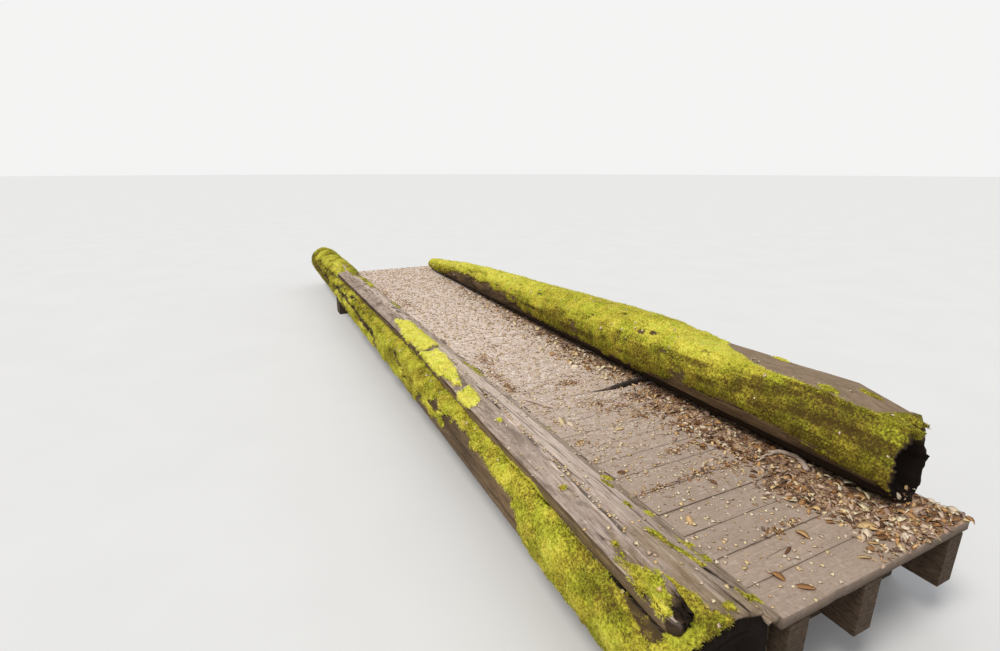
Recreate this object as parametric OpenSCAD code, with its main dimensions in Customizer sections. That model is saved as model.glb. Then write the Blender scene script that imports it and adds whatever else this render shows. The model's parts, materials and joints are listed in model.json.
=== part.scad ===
// Rustic log footbridge with a plank deck between two big side logs.
// Drawn from the deck: x = 0 is the left end of the planks, y = 0 the near end of the deck
// and z = 0 the top of the thickest plank. The last step moves all of it into the part frame.

/* [Deck] */
// Clear walking width between the inner faces of the side logs
clear_w = 990; // [800:10:1300]
// Number of planks, end to end
plank_count = 45; // [40:1:60]
// Distance from one plank to the next
plank_pitch = 150; // [135:5:180]
// Thickness of a new plank
plank_t = 50; // [40:1:65]
// Open joint between two planks
joint = 4; // [3:1:8]
// Most that feet have worn off a plank's top
wear = 3; // [1:0.5:6]
// Worn arris along a plank's upper edges
arris = 4; // [2:0.5:8]
// Length of plank hidden under the right log
plank_tuck = 165; // [140:5:220]
// How far a plank's end strays from the line
stray = 6; // [0:1:10]
// Which plank, counted from the near end, has lost its corner
broken_plank = 13; // [8:1:30]
// Length of the broken corner, measured from the right log's line
broken_l = 380; // [250:10:500]
// Depth of the broken corner at the right log's line
broken_d = 58; // [35:1:80]

/* [Left log] */
// Radius at the butt, which is the near end
left_butt_r = 250; // [230:5:280]
// Radius at the tip, which is the far end
left_tip_r = 196; // [186:2:225]
// Distance from the deck's near end back to the butt's sawn face
left_start = 20; // [10:2:60]
// Length that runs on past the deck's far end
left_past = 1720; // [1000:20:2200]
// Depth hewn off the inner face, so that the planks butt against it
left_hewn = 28; // [20:1:40]
// Clearance between the inner face and the plank ends
side_gap = 8; // [7:1:14]
// How far down the near sill the log is let in
seat_near = 106; // [95:1:125]
// How far down the far sill the log is let in
seat_far = 18; // [14:1:30]
// Width of the sloping face between the kerb's seat and the deck
slope_w = 150; // [120:5:190]
// Height of that face's upper edge over the deck
slope_h = 45; // [30:1:60]
// Sideways bow of the log at its middle
left_bow = 8; // [0:1:20]
// Length that the seat runs on past the kerb timbers
seat_past = 60; // [20:10:150]
// Length over which a hewn flat runs out into the round
flat_run = 560; // [300:20:800]

/* [Kerb timbers] */
// Width of the squared timbers on top of the left log
kerb_w = 152; // [130:2:170]
// How much narrower the near timber is at its rotten end
kerb_taper = 32; // [10:2:50]
// Thickness of those timbers
kerb_t = 64; // [45:1:90]
// Outward lean of the seat they lie on, in degrees
kerb_lean = 8; // [4:0.5:11]
// Distance of the timbers' inner edge from the groove beside the sloping face
kerb_set = 20; // [5:1:35]
// Distance from the deck's near end to the rotten end of the near timber
kerb_start = 84; // [60:4:160]
// Distance from the deck's near end to the butt joint of the two timbers
kerb_split = 2800; // [2200:50:3400]
// Open joint between the two timbers
kerb_joint = 6; // [3:1:12]
// Distance from the far timber's end to the far end of the deck
kerb_stop = 450; // [300:10:900]
// How far the near timber's rotten end lies outwards from its other end
kerb_swing = 112; // [80:2:120]
// Depth of the rot hollow in the near timber's top
rot_d = 30; // [15:1:38]
// Length of the rot hollow
rot_l = 560; // [300:10:900]

/* [Right log] */
// Radius near its thick end
right_near_r = 244; // [210:2:260]
// Radius where it begins to narrow
right_full_r = 222; // [200:2:236]
// Distance from the deck's near end to that place
right_full_y = 1900; // [1500:50:2200]
// Radius where its slim far stretch begins
right_mid_r = 142; // [120:2:180]
// Distance from the far tip back to that place
right_slim_l = 1430; // [1200:50:1800]
// Radius at the far tip
right_tip_r = 68; // [60:2:110]
// Distance from the deck's near end to the rotten near end
right_start = 240; // [150:5:400]
// Slant of the rotten end across the log
right_slant = 40; // [0:2:80]
// Distance from the far tip to the deck's far end
right_stop = 260; // [100:10:600]
// Distance of the log's axis outside the clear width
right_out = 74; // [60:1:100]
// Depth of the flat hewn underneath, where it lies on the planks
right_flat = 8; // [6:1:14]
// Depth of the flat hewn along the top of its near third
right_face = 70; // [50:1:80]
// Direction that this flat faces, in degrees up from straight outwards
right_face_n = 83; // [75:1:90]
// Length of that flat
right_face_l = 1850; // [1200:50:2600]
// Depth of the rot pocket in the near end
pocket_d = 120; // [60:5:180]
// How much the log has shrunk at the rotten end
shrunk = 28; // [10:2:40]
// Length that has shrunk
shrunk_l = 350; // [200:10:600]

/* [Under the deck] */
// Width of the squared stringers
stringer_w = 100; // [80:5:140]
// Depth of the squared stringers
stringer_h = 235; // [220:5:260]
// Distance from the plank ends to the left stringer
stringer_in = 34; // [30:2:60]
// Width of the sill timbers
sill_w = 200; // [160:5:240]
// Timber left in the near sill under the left log
sill_under = 92; // [70:2:130]
// Distance from each end of the deck to the middle of its sill
sill_in = 340; // [260:10:500]
// Distance from the left log's inner face to the sills' left ends
sill_left = 330; // [290:5:400]
// Length of sill past the plank ends
sill_right = 40; // [20:5:90]

/* [Hidden] */
// Clearance of hewn and curved seats
fit = 0.3;
// Sides of a log's section
sides = 36;
// Steps along the right log
stations = 22;
// Half the length over which its taper changes
blend = 300;
// Groups that the deck's planks are kept in
groups = 15;

deck_l = plank_count * plank_pitch;
plank_l = clear_w + plank_tuck;
worn = rands(0, wear, plank_count, 5);
crooked = rands(-stray, stray, 2 * plank_count, 8);

// Heights, downwards from the deck
sill_top = -plank_t - stringer_h;
butt_low = sill_top - seat_near;
floor_z = butt_low - sill_under;
sill_h = sill_top - floor_z;
near_sill_y = sill_in;
far_sill_y = deck_l - sill_in;

// Left log, with stations as far as the seat, then as far as the inner face, then along the free end
left_end = deck_l + left_past;
kerb_end = deck_l - kerb_stop;
seat_end = kerb_end + seat_past;
face_end = deck_l + side_gap;
left_stations = concat(
    [for (i = [0 : 16]) mix(left_start + 24, seat_end, i / 16)],
    [mix(seat_end, face_end, 0.5), face_end],
    [for (i = [1 : 4]) mix(face_end, left_end - 16, i / 4)]);
function along(y, y0, y1) = (y - y0) / (y1 - y0);
function mix(a, b, t) = a + (b - a) * t;
function ease(t) = let (c = max(0, min(1, t))) c * c * (3 - 2 * c);
function left_r(y) = mix(left_butt_r, left_tip_r, along(y, left_start, left_end));
function left_low(y) = sill_top - mix(seat_near, seat_far, along(y, near_sill_y, far_sill_y));
function left_x(y) = -side_gap + left_hewn - left_r(y) - left_bow * sin(180 * along(y, 0, left_end));
function left_z(y) = left_low(y) + left_r(y);

// A radius trimmed by a flat that lies at distance d from the axis and faces direction n
function trim(r, a, n, d) = cos(a - n) > 0.05 ? min(r, d / cos(a - n)) : r;
// Shallow natural hollows, none of them in the underside, where the log is seated
function hollows(y, a) = ease(along(sin(a), -0.5, 0.5)) * (2 + sin(3 * a + y / 14) + sin(5 * a - y / 9)) / 4;
// Distance from the axis to a plane through a point
function reach(x, z, px, pz, n) = (px - x) * cos(n) + (pz - z) * sin(n);
// How far the seat and the sloping face have run out, and the inner face, which holds as far as the deck
function run_out(y) = ease(along(y, seat_end, seat_end + flat_run));
function face_out(y) = ease(along(y, face_end, face_end + flat_run));

groove = [-side_gap - slope_w, slope_h];
slope_n = 90 - atan2(slope_h, slope_w);
seat_n = 90 + kerb_lean;

function left_section(y, a) = let (
        r = left_r(y),
        x = left_x(y),
        z = left_z(y),
        out = r * run_out(y),
        bark = r * (1 - 0.03 * hollows(y, a)),
        seat = trim(bark, a, seat_n, reach(x, z, groove.x, groove.y, seat_n) + out),
        slope = trim(seat, a, slope_n, reach(x, z, groove.x, groove.y, slope_n) + out))
    trim(slope, a, 0, -side_gap - x + r * face_out(y));

// One ring of the left log: grown or shrunk, pushed along the log for its ends, and rounder towards the heart
function left_ring(y, grow = 0, share = 1, lean = 0) = [for (i = [0 : sides - 1]) let (
        a = 360 * i / sides,
        r = share * mix(0.85 * left_r(y), left_section(y, a) + grow, share))
    [left_x(y) + r * cos(a), y + lean * sin(a) * share, left_z(y) + r * sin(a)]];

// Right log
right_end = deck_l - right_stop;
right_x = clear_w + right_out;
function right_taper(y) = lookup(y, [[right_start, right_near_r], [right_full_y, right_full_r],
    [right_end - right_slim_l, right_mid_r], [right_end, right_tip_r]]);
// Radius of the round log: its taper with soft changes, less what has rotted away
function right_round(y) =
    (right_taper(y - blend) + 2 * right_taper(y) + right_taper(y + blend)) / 4
    - shrunk * ease(1 - along(y, right_start, right_start + shrunk_l));
function right_z(y) = fit - right_flat + right_round(y);
function right_section(y, a) = let (
        r = right_round(y),
        out = r * ease(along(y, right_start + right_face_l - flat_run, right_start + right_face_l)),
        bark = r * (1 - 0.035 * hollows(-y, a)),
        under = trim(bark, a, 270, r - right_flat))
    trim(under, a, right_face_n, r - right_face + out);
// The rotten end's rim wanders to and fro along the log
function ragged(a) = 16 * sin(2 * a + 40) + 11 * sin(5 * a) + 7 * sin(9 * a + 70);
function right_ring(y, grow = 0, share = 1, rag = 0) = [for (i = [0 : sides - 1]) let (
        a = 360 * i / sides,
        r = (right_section(y, a) + grow) * share)
    [right_x + r * cos(a), y + rag * (ragged(a) + right_slant * (cos(a) - 1)), right_z(y) + r * sin(a)]];

// Kerb timbers: u runs outwards across the seat, v stands square on it
function kerb_point(x, y, u, v) = let (z = groove.y - (groove.x - x) * tan(kerb_lean) + fit / cos(kerb_lean))
    [x - u * cos(kerb_lean) - v * sin(kerb_lean), y, z - u * sin(kerb_lean) + v * cos(kerb_lean)];
function near_kerb_x(y) = groove.x - kerb_set - kerb_swing * along(y, kerb_split, kerb_start);
far_kerb_x = groove.x - kerb_set;
// Outline of the timber across, with its top sunk by dip and its sides drawn in by pinch
function kerb_ring(x, y, dip = 0, pinch = 0, drop = 0) = let (
        w = kerb_w - pinch - kerb_taper * ease(1 - along(y, kerb_start, kerb_split * 0.7)),
        t = kerb_t - drop,
        outline = [[pinch, 0], [pinch, t * 0.7], [pinch + 5, t - 4], [pinch + 15, t + 1],
            [w * 0.3, t - dip * 0.45], [w * 0.45, t - dip * 0.9], [w * 0.64, t - dip],
            [w - 22, t - dip * 0.3], [w - 7, t - 4], [w + 3 * sin(y / 3), t * 0.55], [w, 0]])
    [for (p = outline) kerb_point(x, y, p.x, p.y)];

// Bounds of the whole bridge, which place it in the part frame
left_rings = concat(
    [left_ring(left_start + 40, 0, 0.5), left_ring(left_start + 6, 0, 0.66), left_ring(left_start, 0, 0.9, 14)],
    [for (y = left_stations) left_ring(y, 0, 1, y == left_stations[0] ? 16 : 0)],
    [left_ring(left_end, -14), left_ring(left_end, 0, 0.7), left_ring(left_end - 12, 0, 0.45)]);
right_rings = concat(
    [right_ring(right_start + pocket_d, 0, 0.38), right_ring(right_start + pocket_d * 0.6, 0, 0.62, 0.5),
        right_ring(right_start + 14, 0, 0.84, 1), right_ring(right_start, -9, 1, 1)],
    [for (i = [0 : stations]) right_ring(mix(right_start + 60, right_end - 14, i / stations), 0, 1, i == 0 ? 0.9 : 0)],
    [right_ring(right_end, -12), right_ring(right_end, 0, 0.5)]);
left_x_low = min([for (r = left_rings, p = r) p.x]);
right_x_high = max([for (r = right_rings, p = r) p.x]);
far_y = max([for (r = left_rings, p = r) p.y]);
place = [-(left_x_low + right_x_high) / 2, -far_y / 2, -floor_z];

// A closed skin over rings of equal count that follow each other along y
module loft(rings) {
    n = len(rings[0]);
    last = (len(rings) - 1) * n;
    skin = [for (i = [0 : len(rings) - 2], j = [0 : n - 1]) let (a = i * n + j, b = i * n + (j + 1) % n)
        each [[a, b, b + n], [a, b + n, a + n]]];
    near_cap = [for (j = [n - 1 : -1 : 0]) j];
    far_cap = [for (j = [0 : n - 1]) last + j];
    polyhedron(points = [for (r = rings) each r], faces = concat(skin, [near_cap, far_cap]));
}

// Big log with an inner face, a sloping face and a kerb seat hewn along it
module left_log() {
    color("olivedrab") translate(place) loft(left_rings);
}

// Kerb timber whose near end has rotted round and hollow
module near_kerb() {
    steps = 12;
    end_l = kerb_split - kerb_joint / 2;
    tip = [kerb_ring(near_kerb_x(kerb_start), kerb_start, 2, kerb_w * 0.2, kerb_t * 0.45),
        kerb_ring(near_kerb_x(kerb_start), kerb_start + 14, rot_d * 0.5, kerb_w * 0.1, kerb_t * 0.2),
        kerb_ring(near_kerb_x(kerb_start), kerb_start + 48, rot_d * 0.8, kerb_w * 0.04, kerb_t * 0.06)];
    body = [for (i = [0 : steps]) let (
            s = pow(i / steps, 1.6),
            y = mix(kerb_start + 110, end_l, s),
            rot = ease(1 - along(y, kerb_start + rot_l * 0.4, kerb_start + rot_l)))
        kerb_ring(near_kerb_x(y), y, 2 + (rot_d - 2) * rot)];
    color("darkkhaki") translate(place) loft(concat(tip, body));
}

// Kerb timber over the far half
module far_kerb() {
    steps = 8;
    start_y = kerb_split + kerb_joint / 2;
    body = [for (i = [0 : steps]) let (y = mix(start_y, kerb_end - 30, i / steps))
        kerb_ring(far_kerb_x, y, 2 + 3 * sin(180 * i / steps))];
    tip = [kerb_ring(far_kerb_x, kerb_end, 4, 14, 10)];
    color("darkkhaki") translate(place) loft(concat(body, tip));
}

// Side log that lies on the planks, rotten at its near end
module right_log() {
    color("olivedrab") translate(place) loft(right_rings);
}

// Section of a plank, worn along its upper edges
module plank_section(i) {
    w = plank_pitch - joint;
    t = plank_t - worn[i];
    polygon([[0, 0], [w, 0], [w, t - arris], [w - arris, t], [arris, t], [0, t - arris]]);
}

// One plank across the stringers
module plank(i) {
    x0 = crooked[2 * i];
    x1 = plank_l + crooked[2 * i + 1];
    translate([x0, i * plank_pitch + joint / 2, -plank_t])
        rotate([90, 0, 90])
            linear_extrude(height = x1 - x0)
                plank_section(i);
}

// The planks of one stretch of the deck, without the broken one
module deck_planks(g) {
    first = floor((g - 1) * plank_count / groups);
    last = floor(g * plank_count / groups) - 1;
    color("rosybrown") translate(place) for (i = [first : last]) if (i != broken_plank - 1) plank(i);
}

// The plank whose near corner has broken away beside the right log
module broken_deck_plank() {
    y = (broken_plank - 1) * plank_pitch + joint / 2;
    step = broken_l / 6;
    bite = [for (k = [0 : 6]) [clear_w - broken_l + k * step, y + broken_d * sin(15 * k)]];
    corner = [[plank_l + 2 * stray + 1, y + broken_d], [plank_l + 2 * stray + 1, y - 1], [bite[0].x, y - 1]];
    color("rosybrown") translate(place) difference() {
        plank(broken_plank - 1);
        translate([0, 0, -plank_t - 1]) linear_extrude(height = plank_t + 2) polygon(concat(bite, corner));
    }
}

// Squared timber on edge from sill to sill, x is its middle
module stringer(x) {
    color("sienna") translate(place) translate([x - stringer_w / 2, 0, sill_top])
        cube([stringer_w, deck_l, stringer_h]);
}

// Sill timber with a saddle cut to the left log's round
module sill(y) {
    x0 = -side_gap - sill_left;
    saddle = [for (s = [-1, 1]) left_ring(y + s * (sill_w / 2 + 1), fit)];
    color("saddlebrown") translate(place) difference() {
        translate([x0, y - sill_w / 2, floor_z]) cube([plank_l + sill_right - x0, sill_w, sill_h]);
        loft(saddle);
    }
}

left_log();
near_kerb();
far_kerb();
right_log();
broken_deck_plank();  // broken_plank
for (g = [1 : groups]) deck_planks(g);
stringer(stringer_in + stringer_w / 2);  // left_stringer
stringer(clear_w / 2);  // middle_stringer
stringer(clear_w + right_out);  // right_stringer
sill(near_sill_y);  // near_sill
sill(far_sill_y);  // far_sill
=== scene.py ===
"""Looks of a rustic log footbridge: weathered hewn timber, moss, and leaf litter on a plank deck.

Lengths are metres and angles degrees. Deck coordinates start at the deck's near left corner: x runs
across the planks, y along the bridge and z up from the top of the thickest plank. Which way a place
on a timber faces is an angle in its section: 0 to the right, 90 up and 180 to the left. A size of
noise with two numbers is one across the bridge and one along it.
"""
import json
import math

import bpy
import numpy as np
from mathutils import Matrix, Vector
from mathutils.bvhtree import BVHTree

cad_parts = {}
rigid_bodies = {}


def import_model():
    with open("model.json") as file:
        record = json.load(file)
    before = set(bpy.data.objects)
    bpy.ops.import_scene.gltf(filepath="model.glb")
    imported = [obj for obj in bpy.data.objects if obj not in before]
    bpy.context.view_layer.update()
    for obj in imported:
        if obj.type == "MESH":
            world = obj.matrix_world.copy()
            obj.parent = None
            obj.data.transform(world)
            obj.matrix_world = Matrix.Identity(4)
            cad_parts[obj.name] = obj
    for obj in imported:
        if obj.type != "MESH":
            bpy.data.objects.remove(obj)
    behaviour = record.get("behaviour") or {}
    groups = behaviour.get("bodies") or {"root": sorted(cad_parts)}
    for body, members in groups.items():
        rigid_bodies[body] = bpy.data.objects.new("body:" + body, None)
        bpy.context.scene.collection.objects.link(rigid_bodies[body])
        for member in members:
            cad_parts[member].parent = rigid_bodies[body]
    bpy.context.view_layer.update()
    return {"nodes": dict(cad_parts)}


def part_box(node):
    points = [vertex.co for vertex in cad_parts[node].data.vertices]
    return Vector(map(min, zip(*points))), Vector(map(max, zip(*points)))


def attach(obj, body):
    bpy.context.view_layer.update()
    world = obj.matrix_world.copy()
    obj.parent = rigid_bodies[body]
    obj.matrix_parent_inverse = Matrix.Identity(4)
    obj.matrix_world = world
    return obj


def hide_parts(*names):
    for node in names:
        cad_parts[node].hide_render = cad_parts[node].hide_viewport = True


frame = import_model()

# Deck, as the frame has it
PLANKS = 45
STRINGER_INSET = 0.034
PLANK_T = 0.050
stringer_low, stringer_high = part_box("left_stringer")
DECK_L = stringer_high.y - stringer_low.y
PITCH = DECK_L / PLANKS
corner = np.array([stringer_low.x - STRINGER_INSET, stringer_low.y, stringer_high.z + PLANK_T])

# Camera of the photograph, in deck coordinates
CAMERA_AT = (-1.4538, -0.8418, 1.4109)
CAMERA_YAW = 26.135
CAMERA_PITCH = 16.505
CAMERA_ROLL = -0.035
CAMERA_LENS = 19.18
SENSOR_W = 36
CLIP_END = 200

# Grids and surface noise


def at(x, y, z):
    """Points, from grids or single numbers for each coordinate."""
    return np.stack(np.broadcast_arrays(x, y, z), -1)


def deck(p):
    """Deck coordinates of points in the frame."""
    return p - corner


def unit(v):
    return v / np.maximum(np.linalg.norm(v, axis=-1, keepdims=True), 1e-9)


def smooth(a, b, x):
    t = np.clip((x - a) / (b - a), 0, 1)
    return t * t * (3 - 2 * t)


def mix(a, b, t):
    return a + (b - a) * t


def most(*shares):
    """The highest share at each point."""
    return np.maximum.reduce(shares)


def lattice(i, j, k, seed):
    """A repeatable number from -1 to 1 at each whole-numbered point."""
    h = i * 73856093 ^ j * 19349663 ^ k * 83492791 ^ seed * 26544357
    h = ((h ^ (h >> 13)) * 1274126177) & 0x7FFFFFFF
    return (h ^ (h >> 15)) % 65536 / 32767.5 - 1


def noise(p, size, seed=0):
    """Smooth noise from -1 to 1 in blobs of a size."""
    size = np.asarray(size, float)
    if size.shape[-1] == 2:
        size = size[..., [0, 1, 0]]
    q = p / size + seed * 7.31
    cell = np.floor(q).astype(np.int64)
    f = q - cell
    f = f * f * (3 - 2 * f)
    total = np.zeros(p.shape[:-1])
    for bits in range(8):
        step = np.array([bits & 1, bits >> 1 & 1, bits >> 2])
        weight = np.where(step, f, 1 - f).prod(axis=-1)
        node = cell + step
        total += weight * lattice(node[..., 0], node[..., 1], node[..., 2], seed)
    return total


def rough(p, size, octaves=3, seed=0):
    """Noise with finer and weaker noise on it."""
    size = np.asarray(size, float)
    parts = [noise(p, size / 2**k, seed + k) / 2**k for k in range(octaves)]
    return sum(parts) / (2 - 0.5 ** (octaves - 1))


def checks(p, size, width, seed=0):
    """Thin winding lines, 1 along their middle and 0 beyond their width, that come and go along the wood."""
    line = np.clip(1 - np.abs(noise(p, size, seed)) / width, 0, 1)
    return line * smooth(-0.1, 0.35, noise(p, np.asarray(size, float) * 1.7, seed + 9))


def inside(x, y, outline):
    """How far points lie within a convex outline, below 0 outside it."""
    turn = sum(a[0] * b[1] - b[0] * a[1] for a, b in zip(outline, outline[1:] + outline[:1]))
    depth = np.full(np.shape(x), np.inf)
    for (ax, ay), (bx, by) in zip(outline, outline[1:] + outline[:1]):
        across = ((bx - ax) * (y - ay) - (by - ay) * (x - ax)) / math.hypot(bx - ax, by - ay)
        depth = np.minimum(depth, across * np.sign(turn))
    return depth


def streak(y, face, line, width):
    """1 along a line of (y, facing) points, 0 beyond its width in degrees."""
    ys, faces = zip(*line)
    span = smooth(ys[0] - 0.05, ys[0] + 0.05, y) * smooth(ys[-1] + 0.05, ys[-1] - 0.05, y)
    return span * smooth(1, 0.3, np.abs(face - np.interp(y, ys, faces)) / width)


def spots(y, face, places, length, degrees):
    """1 in spots at (y, facing) places, 0 beyond them."""
    far = [np.hypot((y - at_y) / length, (face - at_face) / degrees) for at_y, at_face in places]
    return smooth(1.25, 0.6, np.minimum.reduce(far))


# Meshes


def mesh_piece(name, points, faces, material, slot, replaces=(), values=None, sharp=None, normals=None):
    """One object from points and lists of faces, each list with one number of corners."""
    mesh = bpy.data.meshes.new(name)
    points = np.asarray(points, np.float32).reshape(-1, 3)
    corners = np.concatenate([np.asarray(f, np.int32).ravel() for f in faces])
    counts = np.concatenate([np.full(len(f), np.shape(f)[1]) for f in faces])
    starts = np.concatenate([[0], np.cumsum(counts)[:-1]])
    mesh.vertices.add(len(points))
    mesh.vertices.foreach_set("co", points.ravel())
    mesh.loops.add(len(corners))
    mesh.loops.foreach_set("vertex_index", corners)
    mesh.polygons.add(len(counts))
    mesh.polygons.foreach_set("loop_start", starts.astype(np.int32))
    mesh.polygons.foreach_set("use_smooth", np.ones(len(counts), bool))
    mesh.update(calc_edges=True)
    for key, value in (values or {}).items():
        data = mesh.attributes.new(key, "FLOAT", "POINT").data
        data.foreach_set("value", np.ravel(value).astype(np.float32))
    if normals is not None:
        mesh.normals_split_custom_set_from_vertices(normals.reshape(-1, 3))
    if sharp is not None:
        mesh.set_sharp_from_angle(angle=math.radians(sharp))
    mesh.materials.append(material)
    piece = bpy.data.objects.new(name, mesh)
    bpy.context.scene.collection.objects.link(piece)
    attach(piece, "root")
    if replaces:
        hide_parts(*replaces)
    return piece


def tube_faces(rows, columns):
    """Quads between rows of a closed ring, and a fan round a middle point at each end."""
    i, j = np.meshgrid(np.arange(rows - 1), np.arange(columns), indexing="ij")
    a = i * columns + j
    b = i * columns + (j + 1) % columns
    quads = np.stack([a, a + columns, b + columns, b], -1).reshape(-1, 4)
    ring = np.arange(columns)
    nxt = (ring + 1) % columns
    near = np.full(columns, rows * columns)
    last = (rows - 1) * columns
    near_fan = np.stack([ring, nxt, near], -1)
    far_fan = np.stack([last + nxt, last + ring, near + 1], -1)
    return [quads, np.concatenate([near_fan, far_fan])]


def with_middles(rows):
    """All points of the rows, and then the middles of the first and the last row."""
    return np.concatenate([rows.reshape(-1, rows.shape[-1]), rows[:1].mean(axis=1), rows[-1:].mean(axis=1)])


def joined(strips):
    """Points and faces of several closed strips of rows as one mesh."""
    points, quads, fans = [], [], []
    start = 0
    for rows in strips:
        sides, ends = tube_faces(*rows.shape[:2])
        quads.append(sides + start)
        fans.append(ends + start)
        points.append(with_middles(rows))
        start += len(points[-1])
    return np.concatenate(points), [np.concatenate(quads), np.concatenate(fans)]


def tree_of(node):
    mesh = frame["nodes"][node].data
    return BVHTree.FromPolygons([v.co for v in mesh.vertices], [p.vertices for p in mesh.polygons])


def hits(tree, starts, directions):
    """Where rays first meet a surface, nan where they miss."""
    out = np.full(starts.shape, np.nan)
    flat = out.reshape(-1, 3)
    ways = np.broadcast_to(directions, starts.shape).reshape(-1, 3)
    for n, (start, way) in enumerate(zip(starts.reshape(-1, 3).tolist(), ways.tolist())):
        found = tree.ray_cast(start, way)[0]
        if found is not None:
            flat[n] = found
    return out


def ring_normals(points):
    """Outward directions on rows of a closed ring."""
    along = np.gradient(points, axis=0)
    around = np.roll(points, -1, 1) - np.roll(points, 1, 1)
    return unit(np.cross(along, around))


def graded(length, first, last):
    """Steps from 0 to 1 along a length, that grow from a first to a last size."""
    count = int(length / (last - first) * math.log(last / first))
    s = np.arange(count + 1) / count
    return ((last / first) ** s - 1) / (last / first - 1)


def spread(*stretches):
    """Angles in degrees from stretches of (start, end, step)."""
    return np.concatenate([np.arange(a, b - s / 2, s) for a, b, s in stretches])


# Rows on a timber's end, as shares of the way from its middle to its rim
CAP_SHARES = (0.1, 0.3, 0.5, 0.68, 0.82, 0.92)
RIM_SHARE = 0.95
# Corners that make a ring of the solid, and how far they may lie apart along it
RING_MIN = 10
RING_TOLERANCE = 5e-5
# Rays towards a timber's middle start this far out
RAY_FROM = 1.5


class Skin:
    """A grid of points on a long CAD timber: rows from its near end to its far end, columns around it."""

    def __init__(self, node, angles, step_near, step_far, whole_near, whole_far):
        self.tree = tree_of(node)
        self.find_axis(node)
        turn = np.radians(angles)
        self.around = at(np.cos(turn), 0, np.sin(turn))
        low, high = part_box(node)
        near = self.end_rows(low.y + whole_near, 1)
        far = self.end_rows(high.y - whole_far, -1)
        steps = graded(high.y - low.y, step_near, step_far)
        body = [self.section(mix(near[-1][:, 1], far[-1][:, 1], s)) for s in steps]
        self.points = np.array(near[:-1] + body + far[-2::-1])
        self.fill()
        self.normals = ring_normals(self.points)
        self.p = deck(self.points)
        self.x, self.y, self.z = np.moveaxis(self.p, -1, 0)
        self.face = np.degrees(np.arctan2(self.normals[..., 2], self.normals[..., 0])) % 360
        self.cap = np.zeros(self.y.shape)
        self.cap[:len(CAP_SHARES)] = 1
        self.cap[-len(CAP_SHARES):] = 1

    def find_axis(self, node):
        """The middle of each ring of corners that the solid has."""
        co = np.array([v.co for v in frame["nodes"][node].data.vertices])
        rings = [co[np.abs(co[:, 1] - y) < RING_TOLERANCE] for y in np.unique(co[:, 1].round(4))]
        rings = [r for r in rings if len(np.unique(r.round(5), axis=0)) >= RING_MIN]
        self.ring_y = np.array([r[:, 1].mean() for r in rings])
        self.ring_x = np.array([(r[:, 0].min() + r[:, 0].max()) / 2 for r in rings])
        self.ring_z = np.array([(r[:, 2].min() + r[:, 2].max()) / 2 for r in rings])

    def middle(self, y):
        return at(np.interp(y, self.ring_y, self.ring_x), y, np.interp(y, self.ring_y, self.ring_z))

    def section(self, y):
        return hits(self.tree, self.middle(y) + self.around * RAY_FROM, -self.around)

    def end_rows(self, y, way):
        """Rows on an end face, from its middle out to near its rim."""
        rim = self.section(np.full(len(self.around), y))
        heart = self.middle(np.array([y]))
        rows = []
        for share in (*CAP_SHARES, RIM_SHARE):
            start = mix(heart, rim, share)
            start[:, 1] = y - way
            rows.append(hits(self.tree, start, np.array([0, way, 0])))
        return rows

    def fill(self):
        """Rays that miss take the place of their neighbour along the row before."""
        for k in range(1, len(self.points)):
            gone = np.isnan(self.points[k]).any(axis=-1)
            self.points[k][gone] = self.points[k - 1][gone]

    def lift(self, height):
        return self.points + self.normals * height[..., None]

    def bits(self, places, wide, long, inner):
        """1 in small ragged spots at (x, y) places, 0 beyond them."""
        far = [np.hypot((self.x - x) / wide, (self.y - y) / long) for x, y in places]
        return smooth(1.15, inner, np.minimum.reduce(far) + 0.5 * self.ragged)


# Materials


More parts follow.
